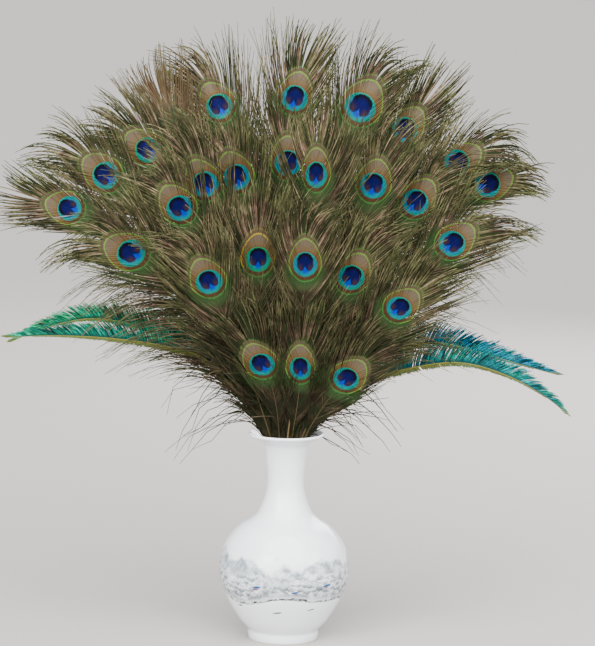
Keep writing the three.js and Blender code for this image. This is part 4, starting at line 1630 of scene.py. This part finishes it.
def make_porcelain():
    material, wiring, shader = new_material("glazed_porcelain")
    place = wiring.node("ShaderNodeTexCoord").outputs["Object"]
    uneven = wiring.noise(place, 9.0, 2.0).outputs["Fac"]
    ground = wiring.mix(uneven, GLAZE, GLAZE_SHADE)
    shore = use_group(wiring, make_shore_group(), {"Place": place, "Ground": ground})["Color"]
    height = wiring.parts(place)["Z"]
    bare = wiring.step(height, 0.0009, 0.0003)
    wiring.plug(shader.inputs["Base Color"], wiring.mix(bare, shore, BARE_CLAY))
    wiring.plug(shader.inputs["Roughness"], wiring.times_plus(bare, 0.5, 0.16))
    ripple = wiring.noise(place, 30.0, 1.0).outputs["Fac"]
    bump = wiring.node("ShaderNodeBump", {"Height": ripple, "Strength": 0.12, "Distance": 0.002})
    wiring.plug(shader.inputs["Normal"], bump.outputs[0])
    shader.inputs["Coat Weight"].default_value = 0.25
    shader.inputs["Coat Roughness"].default_value = 0.12
    return material


vase = add_object("porcelain_vase", make_vase_mesh())
vase.data.materials.append(make_porcelain())
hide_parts("vase")
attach(vase, "root")
print("vase:", len(vase.data.polygons), "faces, height", round(vase.dimensions.z, 4), "m")

# %% [markdown]
# ## Floor and light
# The bouquet stands on a plain pale floor, lit as in a daylight studio: a wide patch of sky
# overhead, a soft box in front on the left, a weak fill from the right, and one from behind
# for the backs of the feathers. Hard lamps would draw sharp shadows between hundreds of
# barbs and make them look like wire.

# %% Floor and light
FLOOR_HALF = 160.0
FLOOR_PALE = ink(170, 166, 162)
STUDIO_WHITE = ink(226, 230, 234)
STUDIO_GLOW = 0.45

# The sky: how far it leans to the front and how wide its patch is in degrees, and its
# power.
SKY_LEAN, SKY_WIDTH, SKY_POWER = 42.0, 70.0, 9.5

# Each soft box: its place, where it aims, its width and height in metres, and its power
# in watts.
SOFT_BOXES = {
    "front_left": ((-1.8, -2.4, 1.3), (0, 0, 0.3), (1.4, 1.4), 75),
    "right_fill": ((2.2, -1.4, 1.2), (0, 0, 0.35), (1.2, 1.6), 38),
    "back_fill": ((0.9, 2.3, 1.5), (0, 0, 0.4), (1.6, 1.6), 60),
}


def make_floor():
    mesh = bpy.data.meshes.new("floor")
    corners = [(-FLOOR_HALF, -FLOOR_HALF, 0), (FLOOR_HALF, -FLOOR_HALF, 0),
               (FLOOR_HALF, FLOOR_HALF, 0), (-FLOOR_HALF, FLOOR_HALF, 0)]
    mesh.from_pydata(corners, [], [(0, 1, 2, 3)])
    floor = add_object("floor", mesh)
    material, _, shader = new_material("pale_floor")
    shader.inputs["Base Color"].default_value = FLOOR_PALE
    shader.inputs["Roughness"].default_value = 0.7
    mesh.materials.append(material)


def make_soft_box(name, place, aim, size, power):
    data = bpy.data.lights.new(name, "AREA")
    data.shape = "RECTANGLE"
    data.size, data.size_y = size
    data.energy = power
    light = add_object(name, data)
    light.location = place
    light.rotation_euler = (Vector(aim) - Vector(place)).to_track_quat("-Z", "Y").to_euler()


def make_sky_light():
    """An even light from a wide patch of sky, so that the whole floor is pale."""
    data = bpy.data.lights.new("overhead", "SUN")
    data.energy = SKY_POWER
    data.angle = math.radians(SKY_WIDTH)
    light = add_object("overhead", data)
    light.rotation_euler = (math.radians(SKY_LEAN), 0.0, 0.0)


def make_world():
    world = bpy.data.worlds.new("studio")
    world.use_nodes = True
    background = world.node_tree.nodes["Background"]
    background.inputs["Color"].default_value = STUDIO_WHITE
    background.inputs["Strength"].default_value = STUDIO_GLOW
    bpy.context.scene.world = world


make_floor()
make_sky_light()
for box_name, settings in SOFT_BOXES.items():
    make_soft_box(box_name, *settings)
make_world()
print("floor, a patch of sky,", len(SOFT_BOXES), "soft boxes and a pale studio")
